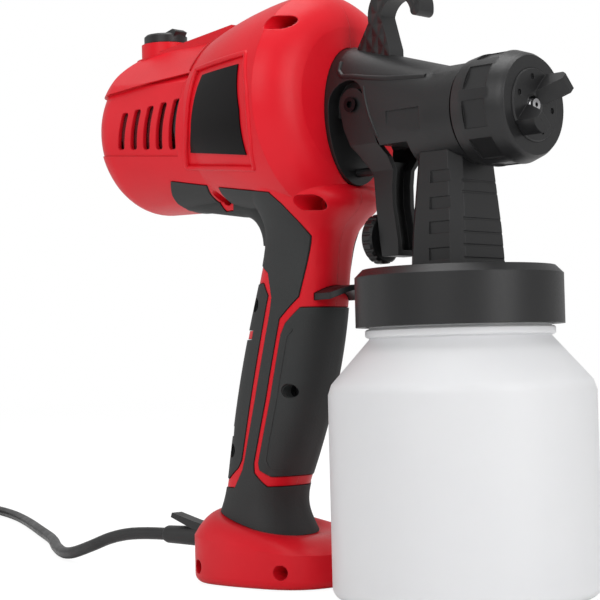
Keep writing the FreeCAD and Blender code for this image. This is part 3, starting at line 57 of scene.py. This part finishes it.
def linear(colour):
    """A colour as written for the screen, such as "d8283a", as the linear numbers that shaders use."""
    channels = [int(colour[i:i + 2], 16) / 255 for i in (0, 2, 4)]
    return [c / 12.92 if c <= 0.04045 else ((c + 0.055) / 1.055) ** 2.4 for c in channels] + [1.0]


# %% [markdown]
# ## The camera
# The photographer stood close to the height of the cup, in front and to the right of the sprayer, with a long lens.
# The place and the turn come from fitting a camera to points whose size is known, such as the round lid and cup.
# A long lens keeps the sides of the cup almost parallel.

# %% Camera
picture_size = 600
focal_pixels = 1850
camera_place = mm(445.3, -558.3, 88)
camera_azimuth = math.radians(43.5)
camera_pitch = math.radians(2.17)
camera_roll = math.radians(-1.4)

camera = bpy.data.objects.new("camera", bpy.data.cameras.new("camera"))
bpy.context.scene.collection.objects.link(camera)
bpy.context.scene.camera = camera
camera.data.sensor_width = 36
camera.data.lens = focal_pixels / picture_size * camera.data.sensor_width
camera.data.clip_start = 0.01
camera.data.clip_end = 20

forward = Vector((-math.sin(camera_azimuth) * math.cos(camera_pitch), math.cos(camera_azimuth) * math.cos(camera_pitch),
                  math.sin(camera_pitch)))
level_right = Vector((math.cos(camera_azimuth), math.sin(camera_azimuth), 0))
level_up = level_right.cross(forward)
right = level_right * math.cos(camera_roll) + level_up * math.sin(camera_roll)
up = right.cross(forward)
turn = Matrix((right, up, -forward)).transposed().to_4x4()
camera.matrix_world = Matrix.Translation(camera_place) @ turn
print("lens", round(camera.data.lens, 1), "mm")

# %% [markdown]
# ## The mains lead
# A lead is one flexible thing, so it is one smooth curve. Its control points are the corners of the route that the
# CAD model's lead follows: straight out of the sleeve, down to the table under its own weight, and along it in a
# loose bend. The length that the picture doesn't show lies outside it as a neat coil of two layers, as wound for
# storage, and the plug lies beside it. A spline of order 3 stays close to its points, and the order is set after
# the points are there, because a spline with too few points falls back to order 2. Blender adds each point's radius to
# the curve's bounding box, so the radius holds the lead's real one, and the bevel that it multiplies is 1.

# %% Route of the lead
cord_radius = 2.75
sleeve_end = (-169, 0, 16.5)
free_route = [sleeve_end, (-188, 0, 16.5), (-207, 0, 13.7), (-222, 0, 8.6), (-245, 4, 2.9), (-280, 26, 2.8),
              (-317, 54, 2.8), (-357, 79, 2.8), (-425, 122, 2.8), (-477, 152, 2.8)]
coil_centre = (-574, 141)
coil_start_angle = math.radians(74.7)
coil_outer_radius = 42
coil_pitch = 6.1
coil_layer = 6.05
coil_lift = 0.7
coil_half_turns = 7
coil_climb_inset = 1.3
plug_centre_height = 7
coil_lead_in = 45
tail_rise = 14
tail_reach = 40
plug_reach = 30


def on_coil(half, radius, height):
    """The point this many half turns round the coil, in mm."""
    angle = coil_start_angle + math.pi * half
    return Vector((coil_centre[0] + radius * math.cos(angle), coil_centre[1] + radius * math.sin(angle), height))


def coil_radii():
    """The coil's radius at each half turn, inwards on the first layer and outwards again on the second."""
    radii = [coil_outer_radius - coil_pitch / 2 * step for step in range(coil_half_turns)]
    radii[-1] -= coil_climb_inset
    return radii + radii[::-1]


def coil_route():
    """Control points of the coil. They lie a little outside the line, because the spline cuts inside them: at each
    point it takes six eighths of that point and one eighth of either neighbour."""
    points_per_half = 8
    outward = 8 / (6 + 2 * math.cos(math.pi / points_per_half))
    radii = coil_radii()
    low = cord_radius + coil_lift
    heights = [low] * coil_half_turns + [low + coil_layer] * coil_half_turns
    route = []
    for half in range(len(radii) - 1):
        for step in range(points_per_half):
            share = step / points_per_half
            radius = (radii[half] * (1 - share) + radii[half + 1] * share) * outward
            height = heights[half] * (1 - share) + heights[half + 1] * share
            route.append(on_coil(half + share, radius, height))
    return route


last_half = 2 * coil_half_turns - 1
coil_start = on_coil(0, coil_outer_radius, cord_radius + coil_lift)
coil_end = on_coil(last_half, coil_outer_radius, cord_radius + coil_lift + coil_layer)
start_heading = Vector((-math.sin(coil_start_angle), math.cos(coil_start_angle), 0))
end_heading = -start_heading
down_to_plug = Vector((0, 0, plug_centre_height - coil_end.z))
plug_turn = math.radians(-45)
plug_heading = Matrix.Rotation(plug_turn, 3, "Z") @ end_heading
tail_foot = coil_end + end_heading * tail_reach + down_to_plug
tail_route = [coil_end, coil_end + end_heading * tail_rise, tail_foot, tail_foot + plug_heading * plug_reach]
route = free_route + [coil_start - start_heading * coil_lead_in] + coil_route() + tail_route
print("lead control points", len(route))

# %% The lead as a curve
lead_curve = bpy.data.curves.new("mains_lead", "CURVE")
lead_curve.dimensions = "3D"
lead_curve.bevel_depth = 1
lead_curve.bevel_resolution = 6
lead_curve.resolution_u = 5
lead_curve.use_fill_caps = True
spline = lead_curve.splines.new("NURBS")
spline.points.add(len(route) - 1)
for control, place in zip(spline.points, route):
    control.co = (*mm(*place), 1)
    control.radius = mm(cord_radius)
spline.order_u = 3
spline.use_endpoint_u = True
lead = bpy.data.objects.new("mains_lead", lead_curve)
bpy.context.scene.collection.objects.link(lead)
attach(lead, "sprayer")
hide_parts("cord", "cord_coil", "cord_tail")


# %% [markdown]
# ## Smooth surfaces
# The CAD model arrives as flat triangles, so a round piece shows its facets. On each piece that shows, a Weld modifier
# joins the triangles, an Edge Split modifier parts them again at real corners, and a Weighted Normal modifier lets the
# large faces decide how the light turns over a rounding. The CAD mesh itself stays as it is.

# %% Smooth surfaces
join_gap = 0.01
corner_degrees = 26


def smooth(*names):
    """Shades CAD nodes smooth, apart from their real corners."""
    for name in names:
        node = nodes[name]
        node.data.shade_smooth()
        weld = node.modifiers.new("joined", "WELD")
        weld.merge_threshold = mm(join_gap)
        corners = node.modifiers.new("corners", "EDGE_SPLIT")
        corners.split_angle = math.radians(corner_degrees)
        corners.use_edge_sharp = False
        light = node.modifiers.new("light", "WEIGHTED_NORMAL")
        light.keep_sharp = True


outer_pieces = ["housing_right", "housing_left", "grip_right", "grip_left", "label_plate", "housing_screws",
                "air_dial", "gun_body", "feed_neck", "hanging_hook", "union_nut", "air_cap", "fluid_nozzle",
                "trigger", "trigger_pin", "flow_knob", "finger_rest", "container_lid", "container", "cord_sleeve",
                "cord_tie", "plug_body", "plug_pins"]
smooth(*outer_pieces)
print("smooth shading on", len(outer_pieces), "outer pieces")


# %% [markdown]
# ## Finishes
# Each finish starts from the real material and from how its surface was made. One small function adds a shader node
# with its settings and links. Patterns are sized from real millimetres: a texture's Scale counts repeats per metre.

# %% Shader helpers
def add(tree, kind, inputs=None, **settings):
    """Adds a node. Inputs are values, or sockets of other nodes to link from."""
    node = tree.nodes.new(kind)
    for name, value in settings.items():
        setattr(node, name, value)
    for name, value in (inputs or {}).items():
        if isinstance(value, bpy.types.NodeSocket):
            tree.links.new(value, node.inputs[name])
        else:
            node.inputs[name].default_value = value
    return node


def new_finish(name):
    """An empty material with its output, its node tree and the piece's own coordinates in metres."""
    material = bpy.data.materials.new(name)
    material.use_nodes = True
    tree = material.node_tree
    tree.nodes.clear()
    place = add(tree, "ShaderNodeTexCoord").outputs["Object"]
    return material, tree, place


def show(tree, shader):
    add(tree, "ShaderNodeOutputMaterial", {"Surface": shader.outputs[0]})


def per_mm(size):
    """A texture scale that repeats about once in this many millimetres."""
    return 1000 / size


def per_band(size):
    """A wave texture's scale for one band in this many millimetres. A scale of 1 gives 20 bands in 2 pi metres."""
    return per_mm(size) * 2 * math.pi / 20


def dress(finish, *names):
    """Gives the finish to CAD nodes."""
    for name in names:
        mesh = nodes[name].data
        mesh.materials.clear()
        mesh.materials.append(finish)


# %% [markdown]
# ### Moulded plastics
# The case is ABS from a spark-eroded mould: an even colour, a soft shine and a very fine grain that breaks up the
# highlights. The black pieces are glass-filled nylon, which is duller, and the mould's grain on them is coarser. Both
# get slightly softened edges from a Bevel node, since no moulded edge is sharp.

# %% Moulded plastic
def moulded_plastic(name, colour, darker, roughness, shine_level, grain_mm, grain_depth_mm, edge_mm):
    material, tree, place = new_finish(name)
    cloud = add(tree, "ShaderNodeTexNoise", {"Vector": place, "Scale": per_mm(35), "Detail": 3.0})
    spread = add(tree, "ShaderNodeMapRange", {"Value": cloud.outputs["Fac"], "From Min": 0.35, "From Max": 0.7})
    tint = add(tree, "ShaderNodeMix", {0: spread.outputs["Result"], 6: linear(colour), 7: linear(darker)},
               data_type="RGBA")
    grain = add(tree, "ShaderNodeTexNoise", {"Vector": place, "Scale": per_mm(grain_mm), "Detail": 2.0})
    shine = add(tree, "ShaderNodeMapRange", {"Value": grain.outputs["Fac"], "From Min": 0.3, "From Max": 0.7,
                                             "To Min": roughness - 0.05, "To Max": roughness + 0.05})
    edge = add(tree, "ShaderNodeBevel", {"Radius": mm(edge_mm)}, samples=4)
    bump = add(tree, "ShaderNodeBump", {"Height": grain.outputs["Fac"], "Strength": 1.0, "Distance": mm(grain_depth_mm),
                                        "Normal": edge.outputs["Normal"]})
    shader = add(tree, "ShaderNodeBsdfPrincipled", {"Base Color": tint.outputs[2], "Roughness": shine.outputs["Result"],
                                                    "IOR": 1.53, "Specular IOR Level": shine_level,
                                                    "Normal": bump.outputs["Normal"]})
    show(tree, shader)
    return material


red_abs = moulded_plastic("moulded_red_abs", "e01626", "d61322", roughness=0.36, shine_level=0.22, grain_mm=0.5,
                          grain_depth_mm=0.012, edge_mm=0.7)
black_nylon = moulded_plastic("moulded_black_nylon", "1a1a1b", "161617", roughness=0.4, shine_level=0.42, grain_mm=0.6,
                              grain_depth_mm=0.02, edge_mm=0.4)
inner_plastic = moulded_plastic("moulded_grey_plastic", "4a4c4e", "434547", roughness=0.5, shine_level=0.5,
                                grain_mm=0.8, grain_depth_mm=0.02, edge_mm=0.3)
dress(red_abs, "housing_right", "housing_left")
dress(black_nylon, "gun_body", "feed_neck", "container_lid", "union_nut", "air_cap", "trigger", "flow_knob", "air_dial",
      "finger_rest", "switch_plunger")
dress(inner_plastic, "rear_bracket", "stator_ring", "fan_shroud", "impeller", "cord_clamp", "clamp_base", "capacitor",
      "microswitch", "dial_potentiometer")
print("plastic finishes", red_abs.name, black_nylon.name, inner_plastic.name)

# %% [markdown]
# ### The hook's lattice
# The hook is the same black nylon, but its flat sides carry a lattice of fine ribs that cross at a slant, so that wet
# fingers don't slip. Two sets of bands in the plane of the hook's sides, one leaning each way, are raised by a Bump,
# and the same bands paint the flat sides a little darker as painted shade that draws the lattice.

# %% Lattice on the hook
rib_spacing = 5.13
rib_lean = 34
rib_height = 0.35

lattice_nylon, tree, place = new_finish("lattice_moulded_black_nylon")
ribs = []
for lean in (-rib_lean, rib_lean):
    turned = add(tree, "ShaderNodeMapping", {"Vector": place, "Rotation": (0, math.radians(lean), 0)})
    bands = add(tree, "ShaderNodeTexWave", {"Vector": turned.outputs["Vector"], "Scale": per_band(rib_spacing)})
    ribs.append(bands.outputs["Fac"])
crossed = add(tree, "ShaderNodeMath", {0: ribs[0], 1: ribs[1]}, operation="MAXIMUM")
facing = add(tree, "ShaderNodeTexCoord")
sideways = add(tree, "ShaderNodeSeparateXYZ", {0: facing.outputs["Normal"]})
flat_side = add(tree, "ShaderNodeMath", {0: sideways.outputs["Y"]}, operation="ABSOLUTE")
rib_height_and_painted_shade = add(tree, "ShaderNodeMath", {0: crossed.outputs[0], 1: flat_side.outputs[0]}, operation="MULTIPLY")
# The ribs and flat sides are painted darker here: painted shade that draws the lattice, on nylon of one colour.
tint = add(tree, "ShaderNodeMix", {0: rib_height_and_painted_shade.outputs[0], 6: linear("1b1b1c"), 7: linear("111112")},
           data_type="RGBA")
bump = add(tree, "ShaderNodeBump", {"Height": rib_height_and_painted_shade.outputs[0], "Strength": 1.0, "Distance": mm(rib_height)})
nylon = add(tree, "ShaderNodeBsdfPrincipled", {"Base Color": tint.outputs[2], "Roughness": 0.4, "IOR": 1.53,
                                               "Normal": bump.outputs["Normal"]})
show(tree, nylon)
dress(lattice_nylon, "hanging_hook")
print("lattice ribs", rib_spacing, "mm apart")

# %% [markdown]
# ### Soft grips
# The grips are a thermoplastic rubber moulded over the case. It is matt and a little grey, because its fine stipple
# scatters light in all directions. The stipple is about 0.4 mm on the real thing and is drawn at 0.8 mm to show.

# %% Grip rubber
grip_rubber, tree, place = new_finish("overmoulded_grip_rubber")
stipple = add(tree, "ShaderNodeTexVoronoi", {"Vector": place, "Scale": per_mm(0.8)})
patch = add(tree, "ShaderNodeTexNoise", {"Vector": place, "Scale": per_mm(20), "Detail": 2.0})
tint = add(tree, "ShaderNodeMix", {0: patch.outputs["Fac"], 6: linear("272929"), 7: linear("2d2f2f")},
           data_type="RGBA")
bump = add(tree, "ShaderNodeBump", {"Height": stipple.outputs["Distance"], "Strength": 0.8, "Distance": mm(0.06)})
rubber = add(tree, "ShaderNodeBsdfPrincipled", {"Base Color": tint.outputs[2], "Roughness": 0.68, "IOR": 1.5,
                                                "Normal": bump.outputs["Normal"]})
show(tree, rubber)
dress(grip_rubber, "grip_right", "grip_left")

# %% [markdown]
# ### Lined screw wells
# Where a screw sits under a grip, its well gets a black sleeve of the grip rubber as painted shade, so the deep well
# looks black and not red. Each lining is an open cylinder that is cut off along the handle's side and given a wall by a
# Solidify modifier.

# %% An open cylinder in each well
lining_radius = 2.98
lining_length = 12
lining_wall = 0.35
lining_sunk = 0.9
well_bottom = -8.3
# Each well's x and height, how far out the handle's side is there, and how much the side leans
well_places = [(-78.5, 79.6, 13.65, 0.775), (-112.0, 55.0, 14.14, -0.68), (-96.5, 115.4, 13.76, -0.673)]

linings = []
for x, z, side, lean in well_places:
    bpy.ops.object.select_all(action="DESELECT")
    bpy.ops.mesh.primitive_cylinder_add(vertices=48, radius=mm(lining_radius), depth=mm(lining_length),
                                        end_fill_type="NOTHING", location=mm(x, well_bottom - lining_length / 2, z),
                                        rotation=(math.radians(90), 0, 0))
    lining = bpy.context.object
    bpy.ops.object.transform_apply(location=True, rotation=True, scale=True)
    bpy.ops.object.mode_set(mode="EDIT")
    bpy.ops.mesh.select_all(action="SELECT")
    bpy.ops.mesh.bisect(plane_co=mm(x, lining_sunk - side, z), plane_no=(lean, -1, 0), clear_outer=True)
    bpy.ops.object.mode_set(mode="OBJECT")
    linings.append(lining)
print("open cylinders", len(linings))

# %% The linings as one piece
for lining in linings:
    lining.select_set(True)
bpy.context.view_layer.objects.active = linings[0]
bpy.ops.object.join()
well_shade_linings = bpy.context.object
well_shade_linings.name = "well_shade_linings"
wall = well_shade_linings.modifiers.new("wall", "SOLIDIFY")
wall.thickness = mm(lining_wall)
wall.offset = -1
bpy.ops.object.modifier_apply(modifier="wall")
bpy.ops.object.shade_smooth_by_angle(angle=math.radians(30))
# The black rubber in the wells is painted shade, not a real part of the case.
well_shade_linings.data.materials.append(grip_rubber)
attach(well_shade_linings, "sprayer")
print("linings", len(well_shade_linings.data.polygons), "faces")

# %% [markdown]
# ### Natural polythene
# The cup is blow-moulded from uncoloured polythene. It lets light into its wall and scatters it, so it looks milky
# and its shaded side never gets dark. Subsurface scattering of a few millimetres gives that.

# %% Natural polythene
cup_polythene, tree, place = new_finish("blow_moulded_natural_polythene")
flow = add(tree, "ShaderNodeTexNoise", {"Vector": place, "Scale": per_mm(40), "Detail": 3.0})
tint = add(tree, "ShaderNodeMix", {0: flow.outputs["Fac"], 6: linear("e9e9ea"), 7: linear("e3e3e5")},
           data_type="RGBA")
skin = add(tree, "ShaderNodeTexNoise", {"Vector": place, "Scale": per_mm(1.2), "Detail": 2.0})
bump = add(tree, "ShaderNodeBump", {"Height": skin.outputs["Fac"], "Strength": 1.0, "Distance": mm(0.015)})
polythene = add(tree, "ShaderNodeBsdfPrincipled", {"Base Color": tint.outputs[2], "Roughness": 0.42, "IOR": 1.51,
                                                   "Subsurface Weight": 0.35, "Subsurface Scale": mm(6),
                                                   "Subsurface Radius": (1.0, 0.95, 0.9),
                                                   "Normal": bump.outputs["Normal"]})
show(tree, polythene)
dress(cup_polythene, "container", "suction_tube", "strainer")

# %% [markdown]
# ### Label film
# The rating plate is a bare black film. Gloss film shows a crisp, weak reflection and faint ripples of its glue.

# %% Label film
label_film, tree, place = new_finish("gloss_black_label_film")
ripple = add(tree, "ShaderNodeTexNoise", {"Vector": place, "Scale": per_mm(6), "Detail": 2.0})
bump = add(tree, "ShaderNodeBump", {"Height": ripple.outputs["Fac"], "Strength": 1.0, "Distance": mm(0.02)})
film = add(tree, "ShaderNodeBsdfPrincipled", {"Base Color": linear("0b0809"), "Roughness": 0.38, "IOR": 1.5,
                                              "Specular IOR Level": 0.12, "Normal": bump.outputs["Normal"]})
show(tree, film)
dress(label_film, "label_plate")

# %% [markdown]
# ### Metals
# A metal's colour is the colour of its reflection. Turned and ground pieces carry fine tool marks round their axis.
# Most of these axes lie along X, so the marks are bands that follow one another along X.

# %% Metals
def tooled_metal(name, colour, roughness, mark_mm, depth_mm):
    material, tree, place = new_finish(name)
    marks = add(tree, "ShaderNodeTexWave", {"Vector": place, "Scale": per_band(mark_mm), "Distortion": 1.5,
                                            "Detail": 2.0})
    smear = add(tree, "ShaderNodeTexNoise", {"Vector": place, "Scale": per_mm(3), "Detail": 3.0})
    shine = add(tree, "ShaderNodeMapRange", {"Value": smear.outputs["Fac"], "From Min": 0.3, "From Max": 0.7,
                                             "To Min": roughness - 0.06, "To Max": roughness + 0.08})
    bump = add(tree, "ShaderNodeBump", {"Height": marks.outputs["Fac"], "Strength": 1.0, "Distance": mm(depth_mm)})
    shader = add(tree, "ShaderNodeBsdfPrincipled", {"Base Color": linear(colour), "Metallic": 1.0,
                                                    "Roughness": shine.outputs["Result"],
                                                    "Normal": bump.outputs["Normal"]})
    show(tree, shader)
    return material


dress(tooled_metal("zinc_plated_steel", "8e8f90", 0.38, 0.986, 0.004), "gun_screws", "clamp_screws")
dress(tooled_metal("black_oxide_steel", "2b2b2d", 0.4, 0.986, 0.004), "housing_screws", "trigger_pin")
dress(tooled_metal("ground_stainless_steel", "b9b8b5", 0.24, 0.592, 0.002), "needle", "needle_spring", "motor_shaft",
      "impeller_nut", "rear_bearing", "front_bearing")
dress(tooled_metal("turned_aluminium", "d6d6d8", 0.3, 0.789, 0.006), "fluid_nozzle", "front_bracket")
dress(tooled_metal("turned_brass", "c9a252", 0.28, 0.789, 0.005), "packing_nut", "spring_cup", "brush_holders")
dress(tooled_metal("nickel_plated_brass", "c8c5bf", 0.18, 1.184, 0.002), "plug_pins")
dress(tooled_metal("laminated_core_steel", "6e7176", 0.45, 1.381, 0.02), "motor_stator", "armature")
dress(tooled_metal("enamelled_copper_wire", "b0663c", 0.32, 1.578, 0.08), "field_coils", "commutator")

# %% [markdown]
# ### Rubber, board, carbon and foam
# The lead, its sleeve and the plug are flexible PVC: black, smooth, with a soft shine. The seals are matt rubber.
# The foam has open cells of about 1 mm and is coloured dark red as painted shade of the red vent slots in front of it,
# and the circuit board a solder resist that is green and glossy.

# %% Rubber, board, carbon and foam
def soft_finish(name, colour, roughness, cell_mm, depth_mm):
    material, tree, place = new_finish(name)
    cells = add(tree, "ShaderNodeTexVoronoi", {"Vector": place, "Scale": per_mm(cell_mm)})
    rubbed = add(tree, "ShaderNodeTexNoise", {"Vector": place, "Scale": per_mm(9), "Detail": 3.0})
    shine = add(tree, "ShaderNodeMapRange", {"Value": rubbed.outputs["Fac"], "From Min": 0.3, "From Max": 0.7,
                                             "To Min": roughness - 0.06, "To Max": roughness + 0.06})
    bump = add(tree, "ShaderNodeBump", {"Height": cells.outputs["Distance"], "Strength": 1.0, "Distance": mm(depth_mm)})
    shader = add(tree, "ShaderNodeBsdfPrincipled", {"Base Color": linear(colour), "Roughness": shine.outputs["Result"],
                                                    "Normal": bump.outputs["Normal"]})
    show(tree, shader)
    return material


cord_pvc = soft_finish("flexible_black_pvc", "161617", 0.4, 0.7, 0.01)
lead_curve.materials.append(cord_pvc)
dress(cord_pvc, "cord_tie", "plug_body", "cord_sleeve", "inner_lead")
dress(soft_finish("moulded_seal_rubber", "1c1c1c", 0.6, 0.9, 0.02), "lid_gasket", "nut_seal_ring")
# The foam's dark red is painted shade of the red vent slots in front of it.
dress(soft_finish("open_cell_foam_painted_slot_shade", "5c1117", 0.9, 1.0, 0.5), "intake_filters")
dress(soft_finish("pressed_carbon", "202020", 0.55, 0.6, 0.02), "carbon_brushes")
dress(soft_finish("green_circuit_board", "1f5a35", 0.25, 2.5, 0.01), "speed_board")

# %% [markdown]
# ## Raised beads
# Moulded cases carry soft raised lines: round a label's recess, along a barrel, beside a pocket and inside a grip's
# edge. Each is a thin round rod that follows the surface and is partly sunk in it. Its points are found by casting rays
# at the CAD piece from the side, so the bead hugs the real shape. The rod is a curve that is then made a mesh.

# %% Points on a piece's right side
bead_step = 2
bead_sunk_share = 0.35
clear_of_the_side = 90


def points_on_side(target, corners, sunk):
    """Points along straight runs between (x, height) corners, this many mm below the target's right side."""
    places = []
    for (x0, z0), (x1, z1) in zip(corners, corners[1:]):
        steps = max(1, round(math.hypot(x1 - x0, z1 - z0) / bead_step))
        for step in range(steps):
            share = step / steps
            places.append((x0 + (x1 - x0) * share, z0 + (z1 - z0) * share))
    places.append(corners[-1])
    found = []
    for x, z in places:
        hit, place, normal = nodes[target].ray_cast(mm(x, -clear_of_the_side, z), Vector((0, 1, 0)))[:3]
        if hit:
            found.append(place - normal * mm(sunk))
    return found


# %% A bead along such points
def surface_bead(name, target, corners, radius, finish):
    """A bead of this radius in mm along the corners."""
    curve = bpy.data.curves.new(name, "CURVE")
    curve.dimensions = "3D"
    curve.bevel_depth = mm(radius)
    curve.bevel_resolution = 4
    curve.resolution_u = 3
    curve.use_fill_caps = True
    found = points_on_side(target, corners, radius * bead_sunk_share)
    line = curve.splines.new("NURBS")
    line.points.add(len(found) - 1)
    for control, place in zip(line.points, found):
        control.co = (*place, 1)
    line.order_u = 3
    line.use_endpoint_u = True
    bead = bpy.data.objects.new(name, curve)
    bpy.context.scene.collection.objects.link(bead)
    bpy.ops.object.select_all(action="DESELECT")
    bead.select_set(True)
    bpy.context.view_layer.objects.active = bead
    bpy.ops.object.convert(target="MESH")
    bead = bpy.context.object
    bpy.ops.object.shade_smooth()
    bead.data.materials.clear()
    bead.data.materials.append(finish)
    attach(bead, "sprayer")
    print(name, len(found), "points")


# %% Beads on the barrel
barrel_line = [(-47.8, 210.5), (-47.2, 206.6), (-44.6, 204.2), (-39.3, 203.6), (-32, 202.2), (-21.5, 200.6),
               (-3, 199.3)]
pocket_line = [(-31.9, 198.4), (-30.8, 195.2), (-24.6, 177.8)]
surface_bead("barrel_side_bead", "gun_body", barrel_line, 1.2, black_nylon)
surface_bead("pocket_rim_bead", "gun_body", pocket_line, 0.7, black_nylon)

# %% Beads on the case and the grip
label_frame_line = [(-107.2, 213.3), (-71.0, 214.6), (-66.9, 198.7), (-66.9, 188.8), (-68.5, 179.2), (-72.9, 168.4),
                    (-119.0, 173.6), (-113.4, 184.7), (-109.9, 194.4), (-108.1, 205.3), (-107.2, 213.3)]
front_pad_line = [(-74.6, 104.6), (-77.2, 102.0), (-84.2, 75.4), (-91.6, 51.4), (-91.4, 48.9), (-89.4, 47.4),
                  (-82.5, 47.4)]
surface_bead("label_frame_bead", "housing_right", label_frame_line, 1.1, red_abs)
surface_bead("front_pad_bead", "grip_right", front_pad_line, 0.5, grip_rubber)

# %% [markdown]
# ## The studio
# A white floor and a white surround, as for a catalogue picture. The camera sees the surround as plain white, while
# the light that it sends to the sprayer stays moderate, so the colours are not washed out. Large soft lamps stand
# on the camera's side, above and to the right, and leave long soft highlights. Places and sizes in the studio are in
# metres, apart from the small gap below the sprayer.

# %% Floor
floor_size = 8
floor_drop = 0.3

bpy.ops.object.select_all(action="DESELECT")
bpy.ops.mesh.primitive_plane_add(size=floor_size, location=mm(0, 0, -floor_drop))
floor = bpy.context.object
floor.name = "studio_floor"
paper, tree, place = new_finish("white_studio_paper")
seen = add(tree, "ShaderNodeLightPath")
matt = add(tree, "ShaderNodeBsdfDiffuse", {"Color": linear("f4f4f4")})
glow = add(tree, "ShaderNodeEmission", {"Color": (1, 1, 1, 1), "Strength": 1.15})
share = add(tree, "ShaderNodeMath", {0: seen.outputs["Is Camera Ray"], 1: 0.8}, operation="MULTIPLY")
both = add(tree, "ShaderNodeMixShader", {0: share.outputs[0], 1: matt.outputs[0], 2: glow.outputs[0]})
show(tree, both)
floor.data.materials.append(paper)
print("floor", floor_size, "m")

# %% Surround
world = bpy.data.worlds.new("studio")
bpy.context.scene.world = world
world.use_nodes = True
sky = world.node_tree
sky.nodes.clear()
path = add(sky, "ShaderNodeLightPath")
plain = add(sky, "ShaderNodeBackground", {"Color": (1, 1, 1, 1), "Strength": 0.42})
white = add(sky, "ShaderNodeBackground", {"Color": (1, 1, 1, 1), "Strength": 1.0})
mirrored = add(sky, "ShaderNodeBackground", {"Color": (1, 1, 1, 1), "Strength": 0.55})
surround = add(sky, "ShaderNodeMixShader", {0: path.outputs["Is Glossy Ray"], 1: plain.outputs[0],
                                           2: mirrored.outputs[0]})
backdrop = add(sky, "ShaderNodeMixShader", {0: path.outputs["Is Camera Ray"], 1: surround.outputs[0],
                                           2: white.outputs[0]})
add(sky, "ShaderNodeOutputWorld", {"Surface": backdrop.outputs[0]})
print("surround nodes", len(sky.nodes))


# %% [markdown]
# ### Lamps
# Each lamp is a large rectangle, because a large source gives soft shadows and broad highlights, as the softboxes of a
# product photographer do. The key lamp stands in front, the side lamp lights the head and the cup, the left lamp only
# opens the shadows, and the top lamp draws the long highlight along the case.

# %% Lamps
def soft_lamp(name, place, aim, width, height, power):
    data = bpy.data.lights.new(name, "AREA")
    data.shape = "RECTANGLE"
    data.size = width
    data.size_y = height
    data.energy = power
    lamp = bpy.data.objects.new(name, data)
    bpy.context.scene.collection.objects.link(lamp)
    lamp.location = place
    lamp.rotation_euler = (Vector(aim) - Vector(place)).to_track_quat("-Z", "Y").to_euler()
    return lamp


soft_lamp("key_lamp", place=(0.35, -1.3, 0.9), aim=(-0.06, 0, 0.13), width=0.9, height=0.9, power=7)
soft_lamp("side_lamp", place=(1.3, -0.1, 0.6), aim=(-0.02, 0, 0.13), width=0.7, height=1.0, power=6.5)
soft_lamp("left_lamp", place=(-1.2, -0.8, 0.5), aim=(-0.1, 0, 0.12), width=0.6, height=0.9, power=0.8)
soft_lamp("top_lamp", place=(-0.1, 0.1, 1.4), aim=(-0.06, 0, 0.12), width=0.9, height=0.9, power=8)

# %% View settings
bpy.context.scene.view_settings.view_transform = "Standard"
